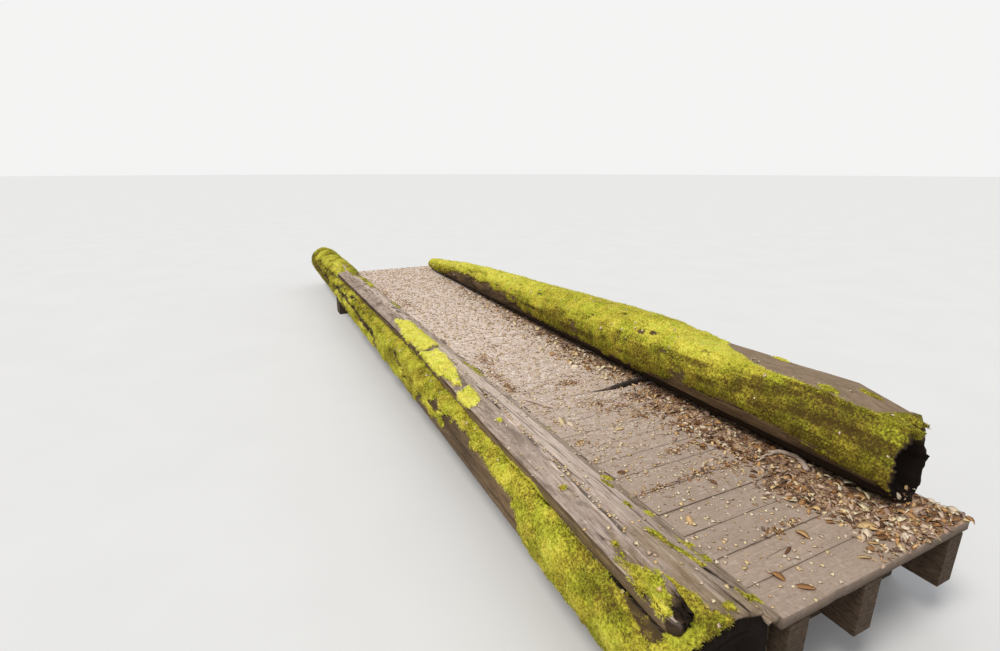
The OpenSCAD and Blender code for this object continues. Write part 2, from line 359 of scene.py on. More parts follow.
class Paint:
    """The node tree of one material, with short calls for the nodes used here."""

    def __init__(self, name, roughness, specular=0.3):
        self.material = bpy.data.materials.new(name)
        self.material.use_nodes = True
        self.tree = self.material.node_tree
        self.shader = self.tree.nodes["Principled BSDF"]
        self.shader.inputs["Roughness"].default_value = roughness
        self.shader.inputs["Specular IOR Level"].default_value = specular
        self.place = self.node("TexCoord").outputs["Object"]

    def node(self, kind):
        return self.tree.nodes.new("ShaderNode" + kind)

    def link(self, value, socket):
        """Feeds a socket from another one, or sets it to a value."""
        if isinstance(value, bpy.types.NodeSocket):
            self.tree.links.new(value, socket)
        else:
            socket.default_value = value

    def attribute(self, name):
        node = self.node("Attribute")
        node.attribute_name = name
        return node.outputs["Fac"]

    def along_y(self):
        """Distance along the bridge, from the middle of it."""
        split = self.node("SeparateXYZ")
        self.link(self.place, split.inputs[0])
        return split.outputs["Y"]

    def noise(self, size, detail=4, stretch=(1, 1, 1), roughness=0.55):
        scaled = self.node("Mapping")
        scaled.inputs["Scale"].default_value = [1 / (size * s) for s in stretch]
        self.link(self.place, scaled.inputs["Vector"])
        node = self.node("TexNoise")
        for key, number in (("Scale", 1), ("Detail", detail), ("Roughness", roughness)):
            node.inputs[key].default_value = number
        self.link(scaled.outputs["Vector"], node.inputs["Vector"])
        return node.outputs["Fac"]

    def specks(self, size, share):
        """Separate ragged specks in a share of the cells of a size, and a number from 0 to 1 for each."""
        bent = self.node("TexNoise")
        bent.inputs["Scale"].default_value = 1.3 / size
        self.link(self.place, bent.inputs["Vector"])
        shift = self.node("VectorMath")
        shift.operation = "MULTIPLY_ADD"
        shift.inputs[1].default_value = (size * 0.9, size * 0.9, 0)
        self.link(bent.outputs["Color"], shift.inputs[0])
        self.link(self.place, shift.inputs[2])
        cells = self.node("TexVoronoi")
        cells.voronoi_dimensions = "2D"
        cells.inputs["Scale"].default_value = 1 / size
        self.link(shift.outputs[0], cells.inputs["Vector"])
        parts = self.node("SeparateColor")
        self.link(cells.outputs["Color"], parts.inputs[0])
        speck = self.span(cells.outputs["Distance"], 0.42, 0.26)
        return self.times(speck, self.math("LESS_THAN", parts.outputs[0], share)), parts.outputs[1]

    def math(self, operation, a, b, clamp=False):
        node = self.node("Math")
        node.operation = operation
        node.use_clamp = clamp
        self.link(a, node.inputs[0])
        self.link(b, node.inputs[1])
        return node.outputs[0]

    def times(self, a, b):
        return self.math("MULTIPLY", a, b)

    def plus(self, a, b, clamp=False):
        return self.math("ADD", a, b, clamp)

    def span(self, value, low, high, to_low=0.0, to_high=1.0):
        node = self.node("MapRange")
        node.interpolation_type = "SMOOTHSTEP"
        self.link(value, node.inputs["Value"])
        for key, number in (("From Min", low), ("From Max", high), ("To Min", to_low), ("To Max", to_high)):
            node.inputs[key].default_value = number
        return node.outputs["Result"]

    def ramp(self, value, *stops):
        node = self.node("ValToRGB")
        self.link(value, node.inputs["Fac"])
        points = node.color_ramp.elements
        while len(points) < len(stops):
            points.new(0.5)
        for point, (position, colour) in zip(points, stops):
            point.position = position
            point.color = (*colour, 1)
        return node.outputs["Color"]

    def blend(self, share, a, b):
        node = self.node("Mix")
        node.data_type = "RGBA"
        self.link(share, node.inputs[0])
        for value, socket in ((a, node.inputs[6]), (b, node.inputs[7])):
            self.link(value if isinstance(value, bpy.types.NodeSocket) else (*value, 1), socket)
        return node.outputs[2]

    def over(self, colour, above, value, low, high, share=1.0):
        """A colour with another one above it, that comes in as a value goes from low to high."""
        return self.blend(self.span(value, low, high, 0, share), colour, above)

    def thin_leaf(self, colour):
        """Lets the back of a thin leaf take the light that falls on its front."""
        through = self.node("BsdfTranslucent")
        self.link(colour, through.inputs["Color"])
        both = self.node("MixShader")
        self.link(self.node("NewGeometry").outputs["Backfacing"], both.inputs[0])
        self.link(self.shader.outputs[0], both.inputs[1])
        self.link(through.outputs[0], both.inputs[2])
        self.link(both.outputs[0], self.tree.nodes["Material Output"].inputs["Surface"])

    def finish(self, colour, height=None, depth=0.002, strength=0.6):
        self.link(colour, self.shader.inputs["Base Color"])
        if height is not None:
            bump = self.node("Bump")
            bump.inputs["Strength"].default_value = strength
            bump.inputs["Distance"].default_value = depth
            self.link(height, bump.inputs["Height"])
            self.link(bump.outputs["Normal"], self.shader.inputs["Normal"])
        return self.material


# Moss, as stops of tone
MOSS_DARK = (0.090, 0.056, 0.014)
WARM_MOSS = (
    (0.0, MOSS_DARK), (0.25, (0.260, 0.195, 0.024)),
    (0.55, (0.670, 0.590, 0.060)), (1.0, (0.960, 0.880, 0.200)))
GREEN_MOSS = (
    (0.0, MOSS_DARK), (0.25, (0.180, 0.170, 0.014)),
    (0.55, (0.560, 0.560, 0.046)), (1.0, (0.890, 0.880, 0.170)))
# Hewn wood in the weather
SILVER_PALE = (0.560, 0.455, 0.385)
SILVER = (0.400, 0.300, 0.238)
SILVER_DARK = (0.190, 0.135, 0.095)
SILVER_STREAK = (0.27, 0.205, 0.165)
SILVER_BLOT = (0.235, 0.175, 0.140)
SILVER_SPECK = (0.170, 0.120, 0.085)
SILVER_FLAKE = (0.640, 0.530, 0.455)
SPLINTER = (0.880, 0.725, 0.620)
OLIVE = (0.215, 0.145, 0.048)
# Round wood without its bark
BARK_BROWN = (0.180, 0.115, 0.060)
BARK_TAN = (0.330, 0.220, 0.120)
BARK_SPECK = (0.070, 0.042, 0.022)
BARK_GRAIN = (0.075, 0.045, 0.025)
# Near-black for rotten wood, also used for painted shade under and beside timbers
ROT_AND_SHADE = (0.011, 0.006, 0.004)
CRACK = (0.012, 0.008, 0.006)
# Planks
PLANK_GRAIN = ((0.25, (0.32, 0.235, 0.175)), (0.45, (0.42, 0.315, 0.240)), (0.70, (0.50, 0.385, 0.305)))
PLANK_STREAK = (0.36, 0.270, 0.210)
PLANK_BLOTCH = (0.31, 0.225, 0.165)
PLANK_DARKER = (0.34, 0.260, 0.205)
PLANK_SPECK = (0.20, 0.145, 0.105)
PLANK_FLAKE = (0.62, 0.490, 0.400)
# Pale tone for the far planks: a painted sheen
PLANK_FAR_SHEEN = (0.77, 0.615, 0.530)
PLANK_PORE = (0.22, 0.150, 0.100)
# Dark brown for dirt, also used for painted shade on the planks' lower sides and undersides
PLANK_DIRT_AND_SHADE = (0.075, 0.048, 0.030)
STREWN = (0.86, 0.700, 0.520)
STREWN_SHADES = (
    (0.06, (0.12, 0.075, 0.050)), (0.24, (0.36, 0.235, 0.155)),
    (0.36, (0.88, 0.690, 0.520)), (0.60, (1.00, 0.930, 0.830)))
# Specks strewn on the planks: cell size and share of the cells
STREWN_SPECKS = ((0.024, 0.45), (0.014, 0.40))
# Where the planks begin and end to turn paler with a painted sheen, along the bridge, and strewn specks to
# thicken
FAR_PALE_Y = (corner[1] + 0.3, corner[1] + 3.4)
# Leaves, as stops of tone
GOLDEN_LEAF = (
    (0.0, (0.060, 0.032, 0.018)), (0.22, (0.18, 0.080, 0.034)), (0.45, (0.42, 0.200, 0.075)),
    (0.66, (0.68, 0.385, 0.155)), (0.85, (0.84, 0.600, 0.300)), (1.0, (0.96, 0.840, 0.560)))
FADED_LEAF = (
    (0.0, (0.070, 0.042, 0.030)), (0.22, (0.20, 0.120, 0.085)), (0.45, (0.44, 0.290, 0.215)),
    (0.66, (0.64, 0.435, 0.300)), (0.85, (0.76, 0.560, 0.400)), (1.0, (0.93, 0.800, 0.600)))
# Crumbled leaves in the bed: the darkest stop is painted shade in the gaps between crumbs
BED_CRUMBS_AND_GAP_SHADE = (
    (0.30, (0.052, 0.034, 0.024)), (0.43, (0.19, 0.110, 0.070)),
    (0.55, (0.44, 0.270, 0.160)), (0.67, (0.74, 0.540, 0.360)))
# Timber under the deck
DAMP_GRAIN = ((0.3, (0.045, 0.028, 0.018)), (0.7, (0.12, 0.080, 0.052)))
DAMP_BLOTCH = (0.050, 0.038, 0.022)
# How grain is stretched along the bridge
ALONG_Y = (1, 14, 1)


def moss_ramp(paint, tone):
    """Moss that follows a tone from 0 to 1, greener in some places than in others."""
    greener = paint.span(paint.noise(0.10, 3), 0.38, 0.64)
    return paint.blend(greener, paint.ramp(tone, *WARM_MOSS), paint.ramp(tone, *GREEN_MOSS))


def moss_colour(paint, tone):
    """Mottled moss, for the skin between the tufts."""
    mottled = paint.plus(tone, paint.span(paint.noise(0.012, 3), 0.3, 0.7, -0.22, 0.22))
    mottled = paint.plus(mottled, paint.span(paint.noise(0.11, 3), 0.3, 0.7, -0.12, 0.12), clamp=True)
    return moss_ramp(paint, mottled)


def silver_wood(paint, grain, streaky, speckle):
    """Hewn wood gone silver in the weather."""
    blot = paint.noise(0.07, 3, (1, 2, 1))
    silver = paint.ramp(grain, (0.30, SILVER_DARK), (0.45, SILVER), (0.68, SILVER_PALE))
    silver = paint.over(silver, SILVER_STREAK, streaky, 0.42, 0.70, 0.6)
    silver = paint.over(silver, SILVER_BLOT, blot, 0.50, 0.70, 0.5)
    silver = paint.over(silver, SILVER_SPECK, speckle, 0.47, 0.32, 0.55)
    return paint.over(silver, SILVER_FLAKE, speckle, 0.55, 0.70, 0.50)


def brown_wood(paint, grain, streaky, speckle):
    """Round wood, brown and tan."""
    brown = paint.ramp(streaky, (0.3, BARK_BROWN), (0.7, BARK_TAN))
    brown = paint.over(brown, BARK_SPECK, speckle, 0.50, 0.34, 0.50)
    return paint.over(brown, BARK_GRAIN, grain, 0.6, 0.35, 0.6)


def log_paint(name):
    """Wood, moss, and rot and painted shade, mixed by the shares that the mesh carries."""
    paint = Paint(name, 0.92, 0.15)
    grain = paint.noise(0.009, 5, ALONG_Y)
    streaky = paint.noise(0.045, 4, ALONG_Y)
    fleck = paint.noise(0.004, 2, (1, 4, 1))
    speckle = paint.noise(0.010, 4, (1, 2, 1), 0.7)
    silver = silver_wood(paint, grain, streaky, speckle)
    wood = paint.blend(paint.attribute("brown"), silver, brown_wood(paint, grain, streaky, speckle))
    stained = paint.times(paint.attribute("stain"), paint.span(fleck, 0.3, 0.7, 0.55, 1))
    wood = paint.blend(stained, wood, OLIVE)
    bleached = paint.times(paint.attribute("pale"), paint.span(grain, 0.3, 0.6, 0.4, 1))
    wood = paint.blend(bleached, wood, SPLINTER)
    # Rotten wood and painted shade, by the share the mesh carries
    wood = paint.blend(paint.attribute("rot"), wood, ROT_AND_SHADE)
    # Painted shade: the skin between the tufts is a little darker than the tufts.
    moss = moss_colour(paint, paint.plus(paint.attribute("tone"), -0.08))
    colour = paint.over(wood, moss, paint.attribute("moss"), 0.25, 0.6)
    colour = paint.blend(paint.attribute("crack"), colour, CRACK)
    return paint.finish(colour, paint.plus(paint.times(grain, 0.7), paint.times(fleck, 0.3)), 0.003, 0.7)


def shoot_paint():
    """Moss leaves, dark at their foot and bright at their tip."""
    paint = Paint("moss_shoots", 0.85, 0.1)
    tip = paint.span(paint.attribute("tip"), 0, 1, -0.20, 0.20)
    colour = moss_ramp(paint, paint.plus(paint.attribute("tone"), tip, clamp=True))
    paint.thin_leaf(colour)
    return paint.finish(colour)


def strewn_specks(paint, colour):
    """Crumbs and specks of litter on the planks, more and more towards the far end."""
    far = paint.span(paint.along_y(), *FAR_PALE_Y, 0.08, 1)
    crumbs = paint.span(paint.noise(0.008, 2), 0.58, 0.66, 0, 0.45)
    colour = paint.blend(paint.times(crumbs, far), colour, STREWN)
    patchy = paint.times(far, paint.span(paint.noise(0.22, 3), 0.36, 0.60, 0.45, 1))
    for size, share in STREWN_SPECKS:
        speck, shade = paint.specks(size, share)
        colour = paint.blend(paint.times(speck, patchy), colour, paint.ramp(shade, *STREWN_SHADES))
    return colour


def plank_paint():
    """Worn grey-brown boards with grain along x, paler towards the far end with a painted sheen."""
    paint = Paint("worn_planks", 0.88, 0.2)
    grain = paint.noise(0.006, 5, (14, 1, 1))
    fine = paint.noise(0.004, 3, (2.5, 1, 1))
    speckle = paint.noise(0.011, 4, (1.6, 1, 1), 0.7)
    colour = paint.ramp(grain, *PLANK_GRAIN)
    colour = paint.over(colour, PLANK_STREAK, paint.noise(0.03, 4, (9, 1, 1)), 0.40, 0.68, 0.45)
    colour = paint.over(colour, PLANK_BLOTCH, paint.noise(0.16, 4), 0.45, 0.72, 0.35)
    colour = paint.over(colour, PLANK_DARKER, paint.attribute("board"), 0, 1, 0.30)
    colour = paint.over(colour, PLANK_SPECK, speckle, 0.46, 0.31, 0.45)
    colour = paint.over(colour, PLANK_FLAKE, speckle, 0.55, 0.72, 0.22)
    # Painted sheen: the planks turn paler towards the far end.
    colour = paint.over(colour, PLANK_FAR_SHEEN, paint.along_y(), *FAR_PALE_Y, 0.80)
    colour = paint.over(colour, PLANK_PORE, fine, 0.58, 0.75, 0.40)
    colour = strewn_specks(paint, colour)
    # Dirt and painted shade, by the share the mesh carries
    colour = paint.blend(paint.attribute("dirt"), colour, PLANK_DIRT_AND_SHADE)
    return paint.finish(colour, paint.plus(paint.times(grain, 0.6), paint.times(fine, 0.4)), 0.0018, 0.5)


def leaf_paint():
    """Dead leaves from dark brown to cream, some golden and some faded."""
    paint = Paint("dead_leaves", 0.8, 0.25)
    vein = paint.span(paint.noise(0.004, 2), 0.3, 0.7, -0.06, 0.06)
    tone = paint.plus(paint.attribute("tone"), vein, clamp=True)
    faded = paint.attribute("faded")
    return paint.finish(paint.blend(faded, paint.ramp(tone, *GOLDEN_LEAF), paint.ramp(tone, *FADED_LEAF)))


def bed_paint():
    """Crumbled leaves: painted shade in the gaps, and golden and brown crumbs."""
    paint = Paint("crumbled_leaves", 0.85, 0.15)
    crumbs = paint.noise(0.011, 3, roughness=0.65)
    tone = paint.plus(crumbs, paint.span(paint.noise(0.07, 3), 0.3, 0.7, -0.10, 0.10))
    return paint.finish(paint.ramp(tone, *BED_CRUMBS_AND_GAP_SHADE), crumbs, 0.008, 0.9)


def timber_paint():
    """Damp dark timber out of the weather."""
    paint = Paint("damp_timber", 0.9, 0.2)
    grain = paint.noise(0.009, 5, (3, 3, 1))
    colour = paint.over(paint.ramp(grain, *DAMP_GRAIN), DAMP_BLOTCH, paint.noise(0.12, 3), 0.45, 0.7, 0.5)
    return paint.finish(colour, grain, 0.002, 0.6)


log_wood = log_paint("mossy_log")
kerb_wood = log_paint("kerb_timber")
moss_shoots = shoot_paint()
plank_wood = plank_paint()
leaf_skin = leaf_paint()
crumbled = bed_paint()
hidden_wood = timber_paint()

# Moss

# Leaves in a tuft, its radius and height, and a leaf's width and how deep it is rooted
SHOOTS = 12
TUFT_R = 0.009
TUFT_H = 0.0095
SHOOT_W = 0.0034
ROOTED = 0.004
# How much coarser the tufts get with each metre away from the camera
COARSER = 0.16


def scattered(rows, weight, coarse, count, rng):
    """Random places on closed rows, most where the weight is high, as a call that reads any grid there."""
    columns = rows.shape[1]
    nxt = (np.arange(columns) + 1) % columns
    side = np.linalg.norm(rows[1:] - rows[:-1], axis=-1)
    across = np.linalg.norm(rows[:, nxt] - rows, axis=-1)
    share = (side * across[:-1] * weight[:-1] * weight[1:] / coarse[:-1] ** 2).ravel()
    picked = rng.choice(len(share), count, p=share / share.sum())
    i, j = picked // columns, picked % columns
    u, v = rng.random((2, count, 1))

    def sample(grid):
        grid = grid if grid.ndim == 3 else grid[..., None]
        a = mix(grid[i, j], grid[i + 1, j], u)
        b = mix(grid[i, nxt[j]], grid[i + 1, nxt[j]], u)
        return mix(a, b, v)

    return sample


def tufts(name, rows, normals, weight, tone, count, slot, seed, tall=1.0):
    """Tufts of thin pointed leaves, larger and fewer towards the far end."""
    rng = np.random.default_rng(seed)
    coarse = 1 + COARSER * np.clip(deck(rows)[..., 1], 0, None)
    sample = scattered(rows, weight, coarse, count, rng)
    normal, size = unit(sample(normals + 0.5 * ring_normals(rows))), sample(coarse)[:, None]
    shade = sample(tone) + 0.02 + rng.normal(0, 0.11, (count, 1)) - 0.32 * (rng.random((count, 1)) < 0.12)
    lean = unit(normal + rng.normal(0, 0.30, (count, 3)) + np.array([0, 0, 0.15]))
    side_a = unit(np.cross(normal, rng.normal(0, 1, (count, 3))))
    side_b = np.cross(normal, side_a)
    turn = rng.uniform(0, 2 * np.pi, (count, SHOOTS, 1))
    out = np.sqrt(rng.random((count, SHOOTS, 1)))
    away = np.cos(turn) * side_a[:, None] + np.sin(turn) * side_b[:, None]
    base = sample(rows)[:, None] + away * out * TUFT_R * size - normal[:, None] * ROOTED
    way = unit(0.7 * lean[:, None] + 0.9 * away * (0.4 + out) + rng.normal(0, 0.25, (count, SHOOTS, 3)))
    length = tall * TUFT_H * size * (1 - 0.35 * out**2) * rng.uniform(0.7, 1.3, (count, SHOOTS, 1))
    half = SHOOT_W * size * rng.uniform(0.35, 0.6, (count, SHOOTS, 1))
    edge = unit(np.cross(way, normal[:, None]) + rng.normal(0, 0.35, way.shape))
    points = np.stack([base - half * edge, base + half * edge, base + way * (length + ROOTED)], 2)
    faces = np.arange(count * SHOOTS)[:, None] * 3 + np.arange(3)
    shade = np.clip(shade[:, None] + rng.normal(0, 0.06, (count, SHOOTS, 1)), 0, 1)
    values = {"tone": np.repeat(shade.ravel(), 3), "tip": np.tile([0, 0, 1], count * SHOOTS)}
    lie = np.repeat(unit(normal[:, None] + 0.25 * way).reshape(-1, 3), 3, axis=0)
    return mesh_piece(name, points, [faces], moss_shoots, slot, values=values, normals=lie)


def wood_relief(p, seed):
    """Weathered grain that runs along y, and checks in it."""
    ridges = rough(p, (0.010, 0.35), 2, seed) * 0.0018
    waves = rough(p, (0.06, 0.9), 2, seed + 3) * 0.0035
    return ridges + waves, checks(p, (0.026, 0.8), 0.12, seed + 5)


def moss_relief(p, seed, size=1.0):
    """Cushions of moss, from 0 to about 1."""
    big = rough(p, np.array((0.06, 0.09)) * size, 2, seed)
    small = np.abs(noise(p, np.array((0.022, 0.028)) * size, seed + 4))
    return np.clip(0.55 + 0.55 * big + 0.40 * (0.4 - small), 0, 1.2)


def dressed(name, rows, material, slot, node, **shares):
    """A closed skin that carries its shares of moss, stain and so on."""
    values = {key: 0.0 for key in ("moss", "tone", "brown", "stain", "pale", "rot", "crack")}
    values.update(shares)
    flat = np.zeros(rows.shape[:2])
    grids = {key: with_middles((value + flat)[..., None]) for key, value in values.items()}
    faces = tube_faces(*rows.shape[:2])
    return mesh_piece(name, with_middles(rows), faces, material, slot, [node] if node else (), grids)


# Left log

LOG_STEP_NEAR = 0.013
LOG_STEP_FAR = 0.042
# Where its end faces are whole, from the near end and from the far end
LEFT_WHOLE = (0.08, 0.04)
LEFT_TUFTS = 12000
# Where the moss on the outer side begins, as x at each y
MOSS_FROM_Y = (0.0, 0.10, 0.15, 0.21, 0.29, 0.39, 0.60, 1.0, 1.8, 2.7, 5.0, 6.2)
MOSS_FROM_X = (-0.41, -0.438, -0.452, -0.442, -0.428, -0.412, -0.398, -0.380, -0.360, -0.330, -0.320, -0.315)
# Where that moss ends, as the direction it faces at each y
MOSS_TO_Y = (0.0, 0.90, 0.99, 1.08, 1.3, 1.6, 2.15, 2.35, 2.65, 8.5)
MOSS_TO_FACE = (206, 204, 178, 167, 156, 154, 153, 160, 196, 200)
# Long gaps in the moss, and a clump below it, as (y, facing)
LEFT_FISSURES = (
    ((2.35, 172), (2.94, 168), (3.23, 156), (3.74, 147), (4.6, 141), (5.6, 137)),
    ((3.9, 172), (4.6, 168), (5.4, 160), (6.2, 158)),
    ((5.2, 190), (6.0, 182), (7.0, 172), (8.0, 168)),
    ((6.4, 138), (7.0, 146), (7.8, 140)))
LOW_CLUMP = ((2.05, 172), (2.22, 176), (2.38, 172))
# Outlines of moss on the sloping face and beside the kerb's rotten end, as (x, y)
SLOPE_MOSS = (
    [(-0.146, 0.53), (-0.118, 0.48), (-0.086, 0.36), (-0.062, 0.28), (-0.078, 0.27),
     (-0.112, 0.36), (-0.140, 0.46)],
    [(-0.092, 0.74), (-0.074, 0.70), (-0.080, 0.66), (-0.098, 0.68)],
    [(-0.072, 0.92), (-0.054, 0.87), (-0.060, 0.81), (-0.078, 0.85)],
    [(-0.060, 0.17), (-0.034, 0.12), (-0.030, 0.08), (-0.060, 0.11)],
    [(-0.176, 0.115), (-0.150, 0.110), (-0.158, 0.062), (-0.184, 0.072)],
    [(-0.055, 2.75), (-0.020, 2.55), (-0.020, 2.30), (-0.050, 2.40)],
    [(-0.070, 6.25), (-0.012, 6.20), (-0.012, 5.45), (-0.060, 5.50)])
BESIDE_END = [
    (-0.295, 0.345), (-0.238, 0.300), (-0.225, 0.190), (-0.228, 0.080), (-0.300, 0.075), (-0.330, 0.150)]


def kerb_inner(y):
    """Inner edge of the kerb timbers, as x."""
    return -0.178 - 0.112 * np.clip(2.8 - y, 0, 2.72) / 2.716


def left_fissures(skin):
    """Long gaps that wind through the moss on the far half."""
    width = mix(5.0, 9.0, smooth(2.9, 3.8, skin.y))
    face = skin.face + 7 * skin.wander + 6 * skin.ragged
    return most(*(streak(skin.y, face, line, width) for line in LEFT_FISSURES))


def left_gaps(skin):
    """Holes in the moss, more and more towards the far end."""
    y = skin.y
    gaps = smooth(0.22, 0.50, rough(skin.p, (0.08, 0.14), 3, 18)) * smooth(2.6, 4.6, y) * smooth(6.3, 5.9, y)
    return np.maximum(gaps, smooth(0.24, 0.42, rough(skin.p, (0.06, 0.10), 3, 15)) * smooth(4.8, 5.8, y))


def left_top_moss(skin):
    """Moss on the log's top at its near end, and beside the kerb's rotten end."""
    x, y, ragged = skin.x, skin.y, skin.ragged
    near_top = smooth(0.14, 0.09, y + 0.05 * ragged) * smooth(-0.19, -0.24, x + 0.05 * ragged)
    beside_end = smooth(-0.004, 0.012, inside(x + 0.02 * ragged, y, BESIDE_END))
    return near_top * smooth(55, 75, skin.face), beside_end


def left_moss(skin):
    """Moss on the outer side, on top of both ends, in patches on the slope and in a clump below."""
    x, y, face, ragged, wander = skin.x, skin.y, skin.face, skin.ragged, skin.wander
    seat_face = mix(111, 70, smooth(0.55, 0.95, y + 0.1 * ragged))
    lower = skin.lower + 12 * ragged + 3 * wander
    side = smooth(0.012, -0.012, x - skin.upper) * smooth(-6, 7, face - seat_face)
    side *= smooth(5, -5, face - lower)
    far_top = smooth(6.15, 6.45, y + 0.25 * wander) * smooth(15, 35, face)
    far_top *= smooth(215, 190, face + 15 * ragged)
    far_top *= 1 - smooth(0.026, 0.012, np.abs(x + 0.18 + 0.02 * wander)) * smooth(6.95, 6.75, y)
    patches = [inside(x + 0.010 * ragged, y + 0.03 * ragged, outline) for outline in SLOPE_MOSS]
    slope = smooth(-0.006, 0.006, most(*patches)) * (smooth(15, 45, face) * smooth(110, 90, face))
    clump = spots(y, face + 8 * ragged, LOW_CLUMP, 0.09, 9)
    bare = smooth(0.42, 0.72, rough(skin.p, (0.10, 0.22), 3, 14)) * smooth(0.8, 1.6, y)
    cover = most(side * (1 - 0.8 * bare), far_top, *left_top_moss(skin), slope, clump)
    moss = smooth(0.28, 0.66, cover + 0.20 * ragged - 1.6 * skin.fissure - 0.9 * skin.gaps)
    cap_top = skin.cap * smooth(0.02, 0.06, skin.z + 0.02 * ragged) * smooth(4, 5, y)
    return moss * (1 - skin.cap * (1 - cap_top))


def left_height(skin, relief, crack):
    """How far the finished surface stands out from the bare timber."""
    inset = 0.004 * smooth(-0.06, -0.12, skin.x)
    wood = (relief - 0.007 * crack - 0.003 * skin.pits) * smooth(-0.012, -0.03, skin.x)
    thick = 0.014 + 0.010 * smooth(3.0, 5.0, skin.y)
    height = mix(wood - inset - 0.010 * skin.fissure, -0.003 + thick * skin.cushions, skin.moss)
    sawn = 0.003 + 0.012 * np.abs(rough(skin.p, (0.03, 0.5), 3, 41))
    return height - skin.cap * sawn * smooth(5, 4, skin.y)


def left_tone(skin):
    """How bright the moss is: patchy, darker in the creases between cushions as painted shade, and darker
    low down, beyond the deck and at the near end.
    """
    x, y, face = skin.x, skin.y, skin.face
    patchy = mix(mix(0.21, 0.30, smooth(1.0, 2.0, y)), 0.42, smooth(4.5, 5.5, y))
    # Painted shade: the moss is darker in the creases between its cushions.
    tone = 0.44 + 0.26 * (skin.cushions - 0.5) + patchy * rough(skin.p, (0.09, 0.16), 3, 51)
    tone += 0.03 * smooth(2.2, 1.0, y)
    tone -= 0.10 * smooth(3.0, 3.8, y) * smooth(6.4, 5.8, y) * smooth(150, 140, face)
    tone -= 0.30 * smooth(6.3, 7.0, y) * smooth(120, 165, face)
    tone -= 0.12 * smooth(skin.lower - 26, skin.lower, face) * smooth(1.2, 0.6, y)
    near_top, beside_end = left_top_moss(skin)
    tone += 0.04 * beside_end - 0.20 * near_top * smooth(-0.40, -0.30, x)
    return tone - 0.08 * smooth(-0.47, -0.43, x) * (y < 1)


def left_brown(skin):
    """Brown round wood, and hewn faces that are silver except at the near end."""
    outer = smooth(100, 125, skin.face) * (1 - 0.15 * skin.wander)
    brown = np.maximum(outer, 0.35 * smooth(0.9, 0.3, skin.y))
    return np.where(skin.face < 20, 0.8, brown)


def left_stain(skin):
    """Green stain on the seat, under the moss's upper edge and at the near end."""
    y, face = skin.y, skin.face
    thin = smooth(0.10, 0.42, rough(skin.p, (0.09, 0.25), 3, 16))
    edge = 0.8 * smooth(118, 126, face) * smooth(150, 138, face)
    return most((0.45 + 0.5 * skin.shreds) * skin.seat, edge, 0.55 * thin * smooth(1.3, 0.5, y),
                0.7 * smooth(0.20, 0.10, y))


def left_pale(skin):
    """Bleached wood along the slope's upper edge and over its far part."""
    x, y, face = skin.x, skin.y, skin.face
    arris = smooth(0.014, 0.004, np.abs(x + 0.158)) * smooth(-0.3, 0.3, skin.ragged) * smooth(60, 80, face)
    slope = mix(0.10, 0.66, smooth(0.2, 1.5, y)) * smooth(60, 75, face) * smooth(110, 95, face)
    return np.maximum(0.5 * arris, slope)


def left_rot_and_shade(skin):
    """Dark wood: the sawn end, dirt and painted shade in the gutter beside the kerbs, gaps in the moss, and
    outer streaks.
    """
    p, x, y, face = skin.p, skin.x, skin.y, skin.face
    # Dirt and painted shade in the groove beside the kerbs' inner edge.
    gutter = smooth(0.056, 0.047, x - kerb_inner(y) + 0.010 * skin.ragged) * smooth(-0.345, -0.335, x)
    gutter *= smooth(3.6, 2.8, y) * smooth(0.35, 0.5, y) * smooth(60, 80, face)
    gutter *= smooth(-0.6, 0.1, noise(p, (0.1, 0.12), 19))
    soft = smooth(0.28, 0.05, y) * smooth(-0.3, 0.3, rough(p, (0.03, 0.04), 3, 23)) * smooth(110, 95, face)
    lined = rough(p, (0.035, 0.5), 3, 22)
    outer = smooth(140, 160, face)
    return most(skin.cap * smooth(5, 4, y), 0.8 * smooth(0.05, 0.01, y), 0.72 * gutter, 0.85 * skin.fissure,
                0.80 * skin.gaps, 0.25 * skin.pits, 0.45 * soft,
                (0.30 + 0.35 * (1 - skin.shreds)) * skin.seat * smooth(0.7, 0.4, y),
                (0.44 + 0.45 * lined) * smooth(1.1, 1.7, y) * outer, 0.40 * smooth(0.0, 0.5, lined) * outer)


